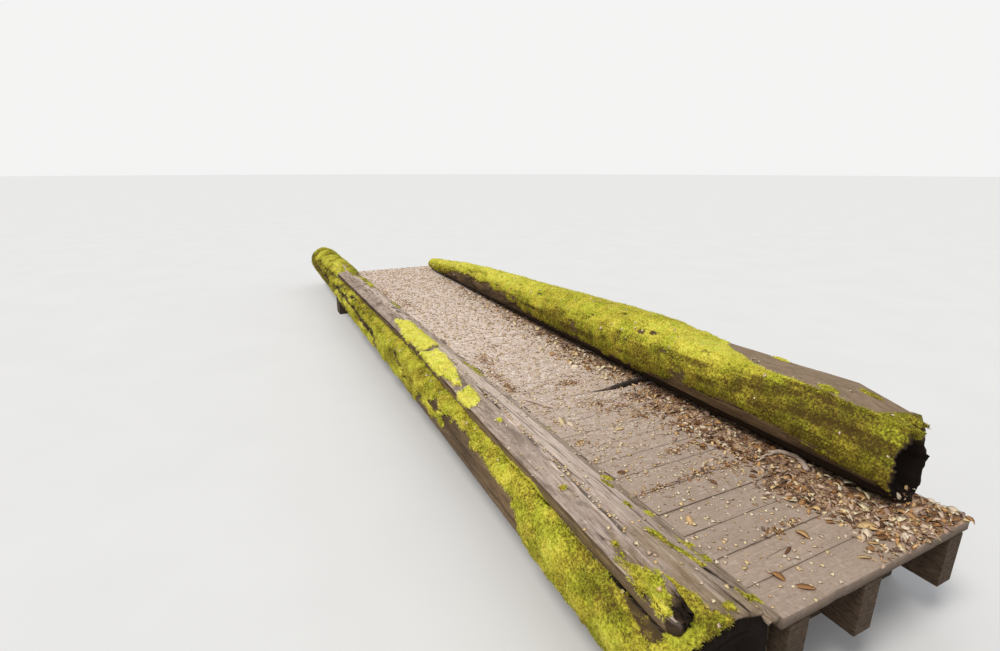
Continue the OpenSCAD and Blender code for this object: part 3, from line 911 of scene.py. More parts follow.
def left_log():
    """The log beside the deck, with its hewn faces, the seat of the kerb timbers, and moss outside."""
    angles = spread((-150, 30, 5.0), (30, 210, 1.35))
    skin = Skin("left_log", angles, LOG_STEP_NEAR, LOG_STEP_FAR, *LEFT_WHOLE)
    p, x, y, face = skin.p, skin.x, skin.y, skin.face
    skin.wander = rough(p, (0.5, 0.35), 3, 11)
    skin.ragged = rough(p, (0.05, 0.09), 3, 12)
    skin.upper = np.interp(y, MOSS_FROM_Y, MOSS_FROM_X) + np.where(y < 0.45, 0.028, 0.014) * skin.ragged
    skin.lower = np.interp(y, MOSS_TO_Y, MOSS_TO_FACE)
    skin.fissure = left_fissures(skin)
    skin.gaps = left_gaps(skin)
    skin.moss = left_moss(skin)
    skin.cushions = moss_relief(p, 31, 1 + 0.05 * y[..., None])
    skin.pits = smooth(0.55, 0.75, noise(p, (0.022, 0.045), 17)) * smooth(60, 80, face)
    skin.pits *= smooth(110, 95, face)
    skin.shreds = smooth(0.0, 0.35, rough(p, (0.018, 0.035), 3, 20))
    seat_end = mix(140, 180, smooth(0.85, 0.50, y))
    skin.seat = smooth(-0.300, -0.335, x) * smooth(seat_end, seat_end - 12, face)
    relief, crack = wood_relief(p, 21)
    crack *= (1 - skin.moss) * (1 - 0.6 * smooth(120, 140, face))
    rows = skin.lift(left_height(skin, relief, crack))
    tone = left_tone(skin)
    dressed("left_log_skin", rows, log_wood, "log_wood", "left_log", moss=skin.moss, tone=tone,
            brown=left_brown(skin), stain=left_stain(skin), pale=left_pale(skin), rot=left_rot_and_shade(skin),
            crack=smooth(0.25, 0.9, crack))
    fringe = smooth(0.070, 0.01, x - skin.upper) * smooth(0.9, 0.6, y) * smooth(86, 96, face) * skin.shreds
    growth = np.maximum(smooth(0.4, 0.9, skin.moss), 1.4 * fringe * (1 - skin.cap))
    tufts("left_log_moss", rows, skin.normals, growth, tone, LEFT_TUFTS, "log_wood", 3)


# Dirt between the left log and the deck

# Places across the strip of dirt, as x, of which the first three lie on the log
EDGE_X = (-0.064, -0.056, -0.049, -0.040, -0.031, -0.022, -0.014, -0.007, -0.001, 0.004)
EDGE_STEP = 0.016
# Moss in it: (from y, to y)
FOOT_MOSS = (
    (0.08, 0.12), (0.30, 0.46), (0.60, 0.64), (0.90, 0.94),
    (1.46, 1.50), (2.35, 2.60), (4.45, 4.75), (5.5, 6.2))
EDGE_TUFTS = 420
EDGE_MOSS_TONE = 0.48


def edge_rows(y):
    """Rows of points round the strip of dirt, in the frame."""
    x = np.array(EDGE_X)
    top = at(x, y[:, None], 0.0)
    top[:, -1, 0] += 0.003 * rough(at(0, y, 0), (1, 0.05), 3, 301)
    above = top[:, :3] + corner + np.array([0, 0, 0.3])
    log_z = hits(tree_of("left_log"), above, np.array([0, 0, -1.0]))[..., 2] - corner[2]
    # Rows beyond the log's broken end follow the next row
    for row in range(len(y) - 2, -1, -1):
        gone = ~(log_z[row] > -0.02)
        log_z[row][gone] = log_z[row + 1][gone]
    top[:, :3, 2] = log_z - np.array([0.006, 0.002, 0.0])
    top[:, 3:, 2] = mix(log_z[:, 2:3], -0.001, smooth(-0.049, -0.006, x[3:])) - 0.005 * (x[3:] > 0.0)
    lumps = rough(top, (0.007, 0.035, 1), 3, 302)
    top[:, 2:-1, 2] += 0.0032 * lumps[:, 2:-1] - 0.0010
    foot = np.stack([top[:, -1], top[:, 0]], 1)
    foot[..., 2] = -0.018
    foot[:, 1, 0] = -0.020
    return np.concatenate([top, foot], 1)[:, ::-1] + corner


def edge_dirt():
    """Crumbled wood, dirt and moss between the left log's hewn face and the deck."""
    y = np.arange(0.014, DECK_L - 0.01, EDGE_STEP)
    rows = edge_rows(y)
    p = deck(rows)
    along = y[:, None] + np.zeros(rows.shape[:2])
    moss = most(*(smooth(-0.03, 0.03, np.minimum(along - y0, y1 - along)) for y0, y1 in FOOT_MOSS))
    moss *= smooth(-0.4, 0.2, noise(p, (0.02, 0.04), 303)) * (p[..., 2] > -0.010)
    dirt = smooth(0.0, 0.6, noise(p, (0.010, 0.06), 304))
    dressed("edge_dirt", rows, log_wood, "log_wood", None, moss=moss, tone=0.45, stain=0.35 + 0.3 * dirt,
            pale=0.5 * smooth(0.6, 1.8, along), rot=0.12 + 0.38 * dirt)
    tufts("edge_moss", rows, ring_normals(rows), moss, np.full(moss.shape, EDGE_MOSS_TONE), EDGE_TUFTS,
          "deck_wood", 9, 0.7)


# Kerb timbers

KERB_STEP_NEAR = 0.011
KERB_STEP_FAR = 0.020
KERB_WHOLE = (0.14, 0.03)
KERB_TUFTS = 1500
# Outlines of clumps of moss, as (x, y)
NEAR_CLUMPS = (
    [(-0.372, 1.945), (-0.262, 2.012), (-0.300, 1.768), (-0.372, 1.743)],
    [(-0.340, 2.795), (-0.200, 2.700), (-0.245, 2.289), (-0.305, 2.038), (-0.380, 2.458)],
    [(-0.372, 0.352), (-0.335, 0.310), (-0.316, 0.213), (-0.380, 0.125), (-0.412, 0.150), (-0.412, 0.270)])
FAR_CLUMPS = ([(-0.262, 3.716), (-0.170, 3.501), (-0.170, 2.851), (-0.306, 2.800), (-0.335, 3.119)],)
# A patch of old dark moss near the rotten end
OLD_MOSS = [(-0.370, 0.400), (-0.347, 0.478), (-0.323, 0.462), (-0.332, 0.400), (-0.350, 0.370)]
# Small bits of moss on the kerbs' top, as (x, y)
KERB_BITS = ((-0.330, 0.834), (-0.336, 0.462), (-0.295, 1.521))
# Height that moss on the log reaches up the kerbs' outer side, at each y
SIDE_MOSS_Y = (0.45, 0.70, 1.0, 1.8, 2.7, 6.4)
SIDE_MOSS_Z = (-0.03, 0.014, 0.042, 0.022, 0.030, 0.026)


def kerb_moss(skin, clumps, seed):
    """Moss in clumps and bits on top, and along the foot of the outer side."""
    x, y, face, ragged = skin.x, skin.y, skin.face, skin.ragged
    depth = most(*(inside(x + 0.03 * ragged, y + 0.04 * ragged, outline) for outline in clumps))
    clumped = smooth(0.40, 0.60, smooth(-0.012, 0.012, depth) + 0.15 * ragged)
    clumped *= smooth(172, 150, np.where(face > 300, 0, face))
    low_side = smooth(0.008, -0.008, skin.z - np.interp(y, SIDE_MOSS_Y, SIDE_MOSS_Z) - 0.024 * ragged)
    low_side *= smooth(145, 160, face) * smooth(280, 250, face)
    old = 0.8 * skin.old * smooth(0.05, 0.35, rough(skin.p, (0.014, 0.020), 3, seed + 20))
    bits = skin.bits(KERB_BITS, 0.014, 0.020, 0.7) * skin.top
    return most(clumped, low_side, old, bits) * (1 - skin.cap)


def kerb_hollow(skin, seed):
    """The rotten hollow in the near timber's near end."""
    decay = smooth(0.22, 0.13, skin.y + 0.05 * skin.ragged)
    decay *= smooth(-0.375, -0.335, skin.x + 0.02 * skin.ragged)
    return decay * smooth(0.0, 0.4, rough(skin.p, (0.05, 0.12), 2, seed + 7) + 0.5)


def kerb_splinters(skin, seed):
    """Torn strands along the inner edge."""
    edge = smooth(0.034, 0.020, kerb_inner(skin.y) - skin.x + 0.010 * skin.ragged)
    edge *= smooth(-0.25, 0.25, noise(skin.p, (0.2, 0.16), seed + 8))
    edge *= smooth(20, 50, skin.face) * smooth(-0.7, 0.0, noise(skin.p, (0.010, 0.05), seed + 14))
    return edge * (smooth(150, 110, skin.face) * smooth(0.15, 0.3, skin.y))


def kerb_height(skin, relief, crack, seed):
    """How far the finished surface stands out from the bare timber."""
    ridge = skin.splinter * (0.003 + 0.005 * np.abs(noise(skin.p, (0.012, 0.15), seed + 12)))
    wood = relief - 0.006 * crack - 0.022 * skin.hollow + ridge - 0.003 * skin.pits
    moss = np.where(skin.face < 145, 0.008 + 0.016 * skin.cushions, 0.004 * skin.cushions)
    return mix(wood, moss, skin.moss)


def kerb_tone(skin, seed):
    """How bright the moss is: mottled, darker in the creases between cushions as painted shade, and darker
    at the near end and where it is old.
    """
    pores = smooth(0.35, 0.65, noise(skin.p, (0.014, 0.018), seed + 21))
    tone = 0.54 + 0.33 * smooth(1.0, 1.7, skin.y) * smooth(150, 140, skin.face)
    # Painted shade: the moss is darker in the creases between its cushions.
    return tone + 0.30 * (skin.cushions - 0.5) + 0.16 * skin.ragged - (0.30 * pores + 0.2 * skin.old)


def kerb_stain(skin, seed):
    """Green stain on the outer side, thin on top."""
    thin = smooth(0.30, 0.55, rough(skin.p, (0.05, 0.09), 3, seed + 13))
    damp = mix(0.30, 1, smooth(-0.3, 0.4, rough(skin.p, (0.03, 0.09), 3, seed + 19)))
    on_top = 0.8 * thin * skin.top * (0.5 + 0.5 * smooth(1.2, 0.3, skin.y))
    return most(0.75 * skin.side * damp, on_top, 0.9 * skin.old)


def kerb_pale(skin, seed):
    """Bleached splinters and chips."""
    chips = smooth(0.60, 0.75, noise(skin.p, (0.016, 0.030), seed + 16)) * skin.top
    return most(skin.splinter, 0.5 * chips, mix(0.10, 0.0, smooth(0.8, 1.6, skin.y)) * skin.top)


def kerb_rot_and_shade(skin, seed):
    """Dark wood: ends, the hollow, dirt and painted shade on the inner side, the outer side with painted
    shade under its top edge, pits and weathered streaks.
    """
    p, y, face = skin.p, skin.y, skin.face
    # Painted shade: the outer side is darker towards its top, under the kerb's edge.
    shade = skin.side * (0.10 + 0.45 * smooth(0.050, 0.072, skin.z) + 0.25 * smooth(1.2, 3.0, y))
    mottled = smooth(-0.1, 0.4, rough(p, (0.02, 0.06), 3, seed + 23))
    shade += skin.side * 0.28 * smooth(1.0, 0.5, y) * mottled
    shade *= 1 + 0.6 * rough(p, (0.02, 0.15), 3, seed + 17)
    weathered = smooth(0.0, 0.45, rough(p, (0.035, 0.13), 3, seed + 22)) * skin.top
    # Dirt and painted shade on the inner side, which faces the groove.
    inner = 0.6 * smooth(20, 0, np.minimum(face, 360 - face))
    return most(skin.cap * 0.8, 0.95 * smooth(0.15, 0.5, skin.hollow), inner, shade, 0.35 * skin.old,
                0.4 * skin.pits, 0.34 * weathered)


def kerb(node, seed, clumps, rotten):
    """One squared timber on top of the left log."""
    angles = spread((-180, -150, 2.5), (-150, -30, 8.0), (-30, 40, 3.2), (40, 140, 1.7), (140, 180, 2.2))
    skin = Skin(node, angles, KERB_STEP_NEAR, KERB_STEP_FAR, *KERB_WHOLE)
    p, x, y, face = skin.p, skin.x, skin.y, skin.face
    skin.top = smooth(50, 70, face) * smooth(140, 120, face)
    skin.side = smooth(125, 150, face) * smooth(300, 270, face)
    skin.ragged = rough(p, (0.04, 0.05), 3, seed + 1)
    old = smooth(-0.004, 0.008, inside(x + 0.01 * skin.ragged, y + 0.03 * skin.ragged, OLD_MOSS)) * skin.top
    skin.old = old if rotten else np.zeros_like(x)
    skin.hollow = kerb_hollow(skin, seed) if rotten else np.zeros_like(x)
    skin.moss = kerb_moss(skin, clumps, seed)
    skin.cushions = moss_relief(p, seed + 9, 0.5)
    skin.splinter = kerb_splinters(skin, seed)
    skin.pits = smooth(0.55, 0.75, noise(p, (0.022, 0.040), seed + 15)) * skin.top
    relief, crack = wood_relief(p, seed)
    crack *= 0.6
    crack *= 1 - skin.moss
    rows = skin.lift(kerb_height(skin, relief, crack, seed))
    tone = kerb_tone(skin, seed)
    dressed(f"{node}_skin", rows, kerb_wood, "kerb_wood", node, moss=skin.moss, tone=tone,
            brown=(1 - skin.top) * 0.85, stain=kerb_stain(skin, seed), pale=kerb_pale(skin, seed),
            rot=kerb_rot_and_shade(skin, seed), crack=smooth(0.25, 0.9, crack))
    tufts(f"{node}_moss", rows, skin.normals, smooth(0.4, 0.9, skin.moss), tone, KERB_TUFTS,
          "kerb_wood", seed)


# Right log

RIGHT_WHOLE = (0.22, 0.04)
RIGHT_TUFTS = 12500
# Where its moss ends towards the deck, as the direction it faces at each y
RIGHT_MOSS_Y = (0.19, 0.30, 0.56, 0.79, 1.15, 1.5, 1.8, 2.15, 2.46, 3.1, 3.4, 3.8, 4.04, 5.3, 5.7, 6.5)
RIGHT_MOSS_FACE = (208, 202, 194, 188, 189, 194, 205, 205, 196, 206, 194, 176, 154, 154, 184, 192)
# Where the bare hewn strip begins on the flat, as x at each y
BARE_Y = (0.30, 0.38, 0.60, 0.80, 1.00, 1.20, 1.40)
BARE_X = (0.98, 0.925, 0.885, 0.900, 0.960, 1.060, 1.220)
HEWN_FACE = 83
# Bits of moss on the flat, as (x, y)
FLAT_MOSS = ((1.215, 0.989), (0.964, 0.560), (1.165, 0.469))
# Streaks and spots without moss, as (y, facing)
RIGHT_STREAKS = (
    ((0.18, 161), (0.33, 157), (0.5, 158), (0.65, 163), (0.88, 172)),
    ((0.62, 148), (0.79, 149), (0.98, 152)),
    ((0.90, 164), (1.05, 167), (1.25, 175)),
    ((0.22, 178), (0.45, 176), (0.62, 180)),
    ((0.40, 139), (0.60, 141), (0.75, 138)),
    ((1.20, 152), (1.40, 158), (1.62, 160)),
    ((2.10, 178), (2.40, 182), (2.75, 181)),
    ((3.00, 176), (3.40, 172), (3.90, 160)),
    ((4.40, 128), (4.90, 132), (5.30, 126)))
RIGHT_SPOTS = (
    (4.28, 151), (4.04, 105), (3.62, 126), (3.22, 135), (2.39, 143), (2.09, 115), (1.88, 122),
    (1.69, 133), (2.0, 157), (1.54, 154), (2.75, 160), (3.05, 150), (2.55, 172), (3.50, 158),
    (4.75, 140), (1.25, 136), (5.6, 150), (5.9, 120))


def right_hewn(skin):
    """The bare strip of the flat along the log's top."""
    y, ragged = skin.y, skin.ragged
    flat = smooth(22, 10, np.abs(skin.face - HEWN_FACE + 4 * ragged))
    hewn = flat * smooth(0.29, 0.35, y + 0.04 * ragged) * smooth(1.42, 1.30, y + 0.10 * ragged)
    return hewn * smooth(-0.012, 0.012, skin.x - np.interp(y, BARE_Y, BARE_X) + 0.02 * ragged)


def right_spots(skin):
    """Dark spots with torn edges."""
    torn = rough(skin.p, (0.018, 0.03), 2, 65)
    y = skin.y + 0.03 * skin.ragged + 0.03 * torn
    return 0.75 * spots(y, skin.face + 5 * skin.ragged + 3 * torn, RIGHT_SPOTS, 0.050, 3.2)


def right_lost(skin):
    """Where the moss is gone: streaks, fine checks, spots, worn stretches and holes."""
    p, y = skin.p, skin.y
    worn = smooth(0.26, 0.50, rough(p, (0.06, 0.15), 3, 64)) * smooth(95, 140, skin.face)
    holes = smooth(0.40, 0.58, rough(p, (0.035, 0.07), 2, 66) + 0.12 * smooth(4.8, 5.8, y))
    holes *= smooth(1.0, 2.0, y)
    return most(0.55 * skin.lines, 0.4 * skin.fine, skin.dark, 0.72 * worn, 0.75 * holes)


def right_moss(skin):
    """Moss round the log down to a wavy edge, except on the hewn strip and the rotten end."""
    y, face, ragged = skin.y, skin.face, skin.ragged
    low_edge = np.interp(y, RIGHT_MOSS_Y, RIGHT_MOSS_FACE) + 3 * skin.wander
    low_edge = low_edge + mix(9, 22, smooth(2.8, 3.8, y)) * ragged
    side = smooth(22, 40, face + 14 * ragged) * smooth(5, -5, face - low_edge)
    side *= 1 - smooth(24, 36, face) * smooth(78, 70, face) * smooth(1.50, 1.35, y)
    soft = 0.16 * smooth(2.2, 1.0, y)
    moss = smooth(0.34 - soft, 0.62 + soft, side - 0.9 * skin.hewn + 0.18 * ragged - 0.80 * skin.lost)
    bits = 0.9 * skin.bits(FLAT_MOSS, 0.034, 0.060, 0.6) * (np.abs(face - HEWN_FACE) < 25)
    return np.maximum(moss, bits) * (1 - skin.end)


def right_tone(skin):
    """How bright the moss is: darker in the creases between cushions as painted shade, dark at the near end
    and low down, bright further on and on top.
    """
    y, face = skin.y, skin.face
    # Painted shade: the moss is darker in the creases between its cushions.
    tone = 0.27 + 0.14 * (skin.cushions - 0.5)
    tone += 0.18 * smooth(1.0, 2.0, y) * rough(skin.p, (0.10, 0.20), 3, 101)
    low_near = 0.05 * smooth(150, 175, face) * smooth(1.6, 1.0, y)
    tone += 0.25 * smooth(0.5, 1.6, y) * smooth(185, 140, face) - low_near
    tone += 0.22 * smooth(1.9, 1.2, y) * smooth(154, 134, face) * smooth(0.35, 0.7, y)
    tone += 0.18 * smooth(2.8, 4.2, y) * smooth(150, 130, face)
    return tone - (0.24 * skin.lines + 0.08 * skin.fine + 0.2 * skin.dark)


def right_rot_and_shade(skin):
    """Dark wood: the rotten end, painted shade on the underside and on the low side further on, the foot
    beside the deck, and where moss is gone.
    """
    p, y, face = skin.p, skin.y, skin.face
    tan = rough(p, (0.05, 0.14), 3, 68)
    band = mix(0.36, 0.62, smooth(0.9, 0.5, y) + smooth(1.3, 2.2, y)) + 0.25 * tan
    # Painted shade: the underside is made near-black.
    under = smooth(200, 214, face + 4 * skin.ragged) * smooth(300, 270, face)
    foot = smooth(184, 200, face + 5 * skin.wander) * smooth(300, 270, face)
    near_rim = smooth(0.06, 0.0, y - 0.240 - 0.03 * skin.ragged)
    # Painted shade: the low side is made darker beyond the near part.
    painted_shade_low_side = (0.58 + 0.80 * tan) * smooth(140, 160, face) * smooth(1.5, 2.5, y)
    return most(skin.end * smooth(3, 2, y), 0.9 * near_rim * (1 - skin.moss), 0.95 * under, band * foot,
                0.6 * skin.lost * (1 - skin.hewn), painted_shade_low_side,
                0.25 + 0.25 * rough(p, (0.02, 0.12), 3, 67) - skin.hewn)


def right_log():
    """The mossy log that lies on the deck's right edge."""
    angles = spread((-100, 40, 5.0), (40, 260, 1.4))
    skin = Skin("right_log", angles, LOG_STEP_NEAR, LOG_STEP_FAR, *RIGHT_WHOLE)
    p, y, face = skin.p, skin.y, skin.face
    skin.wander = rough(p, (0.5, 0.4), 3, 61)
    skin.ragged = rough(p, (0.05, 0.09), 3, 62)
    skin.hewn = right_hewn(skin)
    skin.lines = most(*(streak(y, face + 4 * skin.ragged, line, 7.0) for line in RIGHT_STREAKS))
    skin.fine = checks(p, (0.030, 0.45), 0.22, 63) * smooth(125, 150, face) * smooth(2.6, 1.6, y)
    skin.dark = right_spots(skin)
    skin.lost = right_lost(skin)
    skin.end = skin.cap * (1 - smooth(0.19, 0.25, skin.z + 0.03 * skin.ragged) * smooth(3, 2, y))
    skin.moss = right_moss(skin)
    skin.cushions = moss_relief(p, 81, 1 + 0.05 * y[..., None])
    relief, crack = wood_relief(p, 71)
    crack = crack * (1 - skin.moss) * (1 - 0.6 * skin.hewn)
    wood = relief * 1.3 - 0.010 * crack - 0.006 * skin.lost
    height = mix(wood, (0.013 + 0.008 * smooth(3.0, 4.5, y)) * skin.cushions, skin.moss)
    broken = 0.004 + 0.045 * np.abs(rough(p, (0.025, 0.5), 3, 91))
    rows = skin.lift(height - skin.cap * (1 - skin.moss) * broken * smooth(3, 2, y))
    tone = right_tone(skin)
    dressed("right_log_skin", rows, log_wood, "log_wood", "right_log", moss=skin.moss, tone=tone,
            brown=1 - 0.50 * skin.hewn, stain=0.35 * smooth(200, 180, face), rot=right_rot_and_shade(skin),
            crack=smooth(0.25, 0.9, crack))
    tufts("right_log_moss", rows, skin.normals, smooth(0.4, 0.9, skin.moss), tone, RIGHT_TUFTS,
          "log_wood", 5)


# Deck planks

ARRIS = 0.0018
TOP_POINTS = 12
# Chips out of a plank's edge, and its waviness, as depths
CHIP = 0.0025
WAVE = 0.0007
BROKEN_PLANK = 13
# Cracks along planks: number, then from x, to x, share of the width, and half width
CRACKS = {6: (0.06, 0.56, 0.07, 0.005), 11: (0.14, 0.50, 0.38, 0.003), 2: (0.20, 0.34, 0.55, 0.0015)}
CRACK_DEPTH = 0.016
# Edges split away: number, then from x, to x, and depth at the near edge and at the far edge
SPLITS = {5: (0.02, 0.50, 0.0, 0.004), 12: (0.52, 1.06, 0.0, 0.034)}
plank_top = {}


def bow(x, start, end):
    """1 midway between two places and 0 beyond them, rounded."""
    return np.sqrt(np.clip((x - start) * (end - x), 0, None)) / ((end - start) / 2)


def plank_edges(tree, number, x):
    """The plank's near and far edge at each x, chipped a little, and split where it is."""
    y0 = corner[1] + (number - 1) * PITCH
    mid_z = corner[2] - PLANK_T / 2
    near = hits(tree, at(x, y0, mid_z), np.array([0, 1, 0]))[:, 1]
    far = hits(tree, at(x, y0 + PITCH, mid_z), np.array([0, -1, 0]))[:, 1]
    near = np.where(np.isnan(near), near[len(near) // 3], near)
    far = np.where(np.isnan(far), far[len(far) // 3], far)
    edge = at(x, number * 0.7, 0)
    near_chips = CHIP * smooth(0.35, 0.7, noise(edge, (0.09, 0.5, 1), 201))
    near = near + near_chips + WAVE * noise(edge, (0.03, 1, 1), 202)
    far_chips = CHIP * smooth(0.40, 0.75, noise(edge, (0.08, 0.5, 1), 203))
    far = far - far_chips - WAVE * noise(edge, (0.03, 1, 1), 204)
    if number in SPLITS:
        start, end, near_depth, far_depth = SPLITS[number]
        torn = bow(x - corner[0], start, end) * (1 + 0.15 * noise(edge, (0.025, 1, 1), 207))
        near = near + near_depth * torn
        far = far - far_depth * torn
    return near, far


def plank_lines(number, x):
    """Shares of the width at which the top has points, and how deep a crack is at each."""
    t = np.linspace(0, 1, TOP_POINTS) + np.zeros((len(x), 1))
    drop = np.zeros_like(t)
    if number in CRACKS:
        start, end, where, width = CRACKS[number]
        lens = bow(x - corner[0], start, end)
        line = where + 0.05 * noise(at(x, number * 0.7, 0), (0.15, 1, 1), 205)
        k = max(2, int(round(where * (TOP_POINTS - 1))))
        half = np.maximum(width * lens, 0.0004) / PITCH
        t[:, k] = line
        t[:, k - 1] = line - half
        t[:, k + 1] = line + half
        t[:, 1:k - 1] = t[:, 1:k - 1] * (line[:, None] - half[:, None]) / t[:, [k]].clip(1e-3) * 0.9
        drop[:, k] = CRACK_DEPTH * lens
    return t, drop


def plank(tree, number, rng):
    """Rows of points round one plank, from its left end to its right end, and its dirt."""
    mid_z = corner[2] - PLANK_T / 2
    middle_y = corner[1] + (number - 0.25) * PITCH
    left = tree.ray_cast((corner[0] - 1, middle_y, mid_z), (1, 0, 0))[0].x
    right = tree.ray_cast((corner[0] + 3, middle_y, mid_z), (-1, 0, 0))[0].x
    top_z = tree.ray_cast((corner[0] + 0.3, middle_y, corner[2] + 1), (0, 0, -1))[0].z
    plank_top[number] = top_z
    x = mix(left, right, np.concatenate([np.linspace(0, 0.86, 54), np.linspace(0.86, 1, 6)[1:]]))
    near, far = plank_edges(tree, number, x)
    t, drop = plank_lines(number, x)
    top_y = mix(near[:, None] + ARRIS, far[:, None] - ARRIS, t)
    cup = rng.uniform(-0.0012, 0.0006)
    grain = rough(at(x[:, None], top_y, number * 0.3), (0.25, 0.02, 1), 3, 206)
    relief = 0.0010 * grain + cup * (2 * t - 1) ** 2
    trodden = smooth(0.42, 0.1, np.abs(x - corner[0] - 0.5))[:, None]
    wear = -0.0015 * trodden * smooth(0.0, 0.4, 1 - np.abs(2 * t - 1))
    top = at(x[:, None], top_y, top_z + relief + wear - drop - 0.0008)
    side_z = top_z - ARRIS * 1.2
    low_z = corner[2] - PLANK_T
    below = ((far, side_z), (far, low_z + 0.004), (far - 0.004, low_z), (mix(near, far, 0.5), low_z),
             (near + 0.004, low_z), (near, low_z + 0.004))
    lower = [at(x, y, z)[:, None] for y, z in below]
    ring = np.concatenate([at(x, near, side_z)[:, None], top] + lower, axis=1)
    return ring, plank_dirt_and_shade(number, ring, drop)


def plank_dirt_and_shade(number, ring, drop):
    """Dirt along the top edges, painted shade on the sides, darker towards the bottom, and on the underside,
    and darker in a crack.
    """
    dirt = np.zeros(ring.shape[:2])
    dirt[:, [0, TOP_POINTS + 1]] = mix(0.35, 0.12, smooth(0.8, 2.2, number * PITCH))
    dirt[:, [1, TOP_POINTS]] = 0.04
    # Painted shade: the lower sides and the underside are made near-black.
    dirt[:, TOP_POINTS + 2:] = 0.85
    dirt[:, 1:TOP_POINTS + 1] = np.maximum(dirt[:, 1:TOP_POINTS + 1], smooth(0.002, 0.008, drop))
    return dirt


def planks_of(node, numbers, rng):
    tree = tree_of(node)
    rings, dirt, board = [], [], []
    for number in numbers:
        ring, soiled = plank(tree, number, rng)
        rings.append(ring)
        dirt.append(with_middles(soiled[..., None]))
        board.append(np.full(len(dirt[-1]), rng.random()))
    values = {"dirt": np.concatenate(dirt), "board": np.concatenate(board)}
    mesh_piece(node + "_worn", *joined(rings), plank_wood, "deck_wood", [node], values, sharp=50)


def deck_planks():
    """Every plank, in the groups that the frame has them in."""
    rng = np.random.default_rng(7)
    for node in sorted(n for n in frame["nodes"] if n.startswith("deck_planks_")):
        low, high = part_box(node)
        first = int(round((low.y - corner[1]) / PITCH)) + 1
        last = int(round((high.y - corner[1]) / PITCH))
        planks_of(node, [n for n in range(first, last + 1) if n != BROKEN_PLANK], rng)
    planks_of("broken_plank", [BROKEN_PLANK], rng)


# Section of the dirt in a joint, from the side and crown down, as (side, sink)
JOINT_RING = ((-1, 0.012), (1, 0.012), (1, 0.0005), (0, -0.0006), (-1, 0.0005))
JOINT_ROWS = 36
JOINT_HALF = 0.0036
# Joints that stay open, counted from the near end
OPEN_JOINTS = (7, 12, 19)


def joint_dirt():
    """Dirt that nearly fills the joints between the planks, deeper in near the near end."""
    strips, dirt = [], []
    for number in range(1, PLANKS):
        y = corner[1] + number * PITCH
        end = 0.50 if number == BROKEN_PLANK - 1 else 1.14
        x = corner[0] + np.linspace(0.012, end, JOINT_ROWS)
        line = at(x, y, 0)
        gap = 1 if number in OPEN_JOINTS else smooth(-0.2, 0.6, noise(line, (0.3, 0.21, 1), 212))
        below = mix(0.0042, 0.0004 + 0.0030 * gap, smooth(0.8, 2.0, number * PITCH))
        below = below + 0.0016 * rough(line, (0.05, 0.3, 1), 3, 211)
        crown = min(plank_top[number], plank_top[number + 1]) - below
        strips.append(np.stack([at(x, y + side * JOINT_HALF, crown - sink) for side, sink in JOINT_RING], 1))
        soiled = mix(0.62, 0.12, smooth(0.6, 2.2, number * PITCH))
        dirt.append(np.full(JOINT_ROWS * len(JOINT_RING) + 2, soiled))
    values = {"dirt": np.concatenate(dirt), "board": np.zeros(sum(map(len, dirt)))}
    mesh_piece("joint_dirt", *joined(strips), plank_wood, "deck_wood", values=values)


# Leaf litter

# Inner edge of the drift of leaves along the right log, as x at each y
DRIFT_Y = (
    0.0, 0.19, 0.25, 0.40, 0.50, 0.68, 0.76, 0.97, 1.15,
    1.30, 1.57, 1.73, 1.99, 2.5, 2.87, 3.5, 4.5, 5.5)
DRIFT_X = (
    0.66, 0.70, 0.68, 0.58, 0.58, 0.69, 0.62, 0.62, 0.68,
    0.72, 0.70, 0.84, 0.78, 0.72, 0.80, 0.82, 0.85, 0.89)
# Leaves in the drift before some are left out, crumbs strewn on the deck, and flecks
DRIFT_LEAVES = 7600
STREWN_CRUMBS = 2400
FLECKS = 6600
GUTTER_FLECKS = 150
# Outer edge of the bed under the drift, beside the right log and before it
BED_X = 1.035
BED_NEAR_X = 1.145
LOG_NEAR_Y = 0.245
BED_ACROSS = 30
BED_STEP = 0.014
# The hole beside the broken plank, as y
HOLE_Y = (1.770, 1.868)
# Small heaps on the deck: x, y, half width, half length and leaves
HEAPS = (
    (0.485, 1.989, 0.05, 0.03, 40), (0.138, 2.646, 0.06, 0.12, 90), (0.060, 2.150, 0.04, 0.16, 70),
    (0.030, 5.350, 0.05, 0.30, 60), (0.110, 4.600, 0.07, 0.25, 80), (0.38, 0.315, 0.14, 0.022, 60),
    (0.25, 0.752, 0.22, 0.018, 90), (0.60, 0.76, 0.08, 0.03, 60), (0.47, 0.98, 0.10, 0.03, 40),
    (0.070, 2.345, 0.035, 0.14, 60), (0.050, 2.080, 0.030, 0.10, 40), (0.054, 1.262, 0.030, 0.025, 22),
    (0.427, 1.643, 0.10, 0.04, 60), (0.500, 1.529, 0.13, 0.03, 70), (0.600, 1.407, 0.12, 0.05, 90),
    (0.727, 1.614, 0.10, 0.06, 90), (0.435, 2.000, 0.08, 0.05, 45), (0.419, 0.776, 0.10, 0.02, 40))
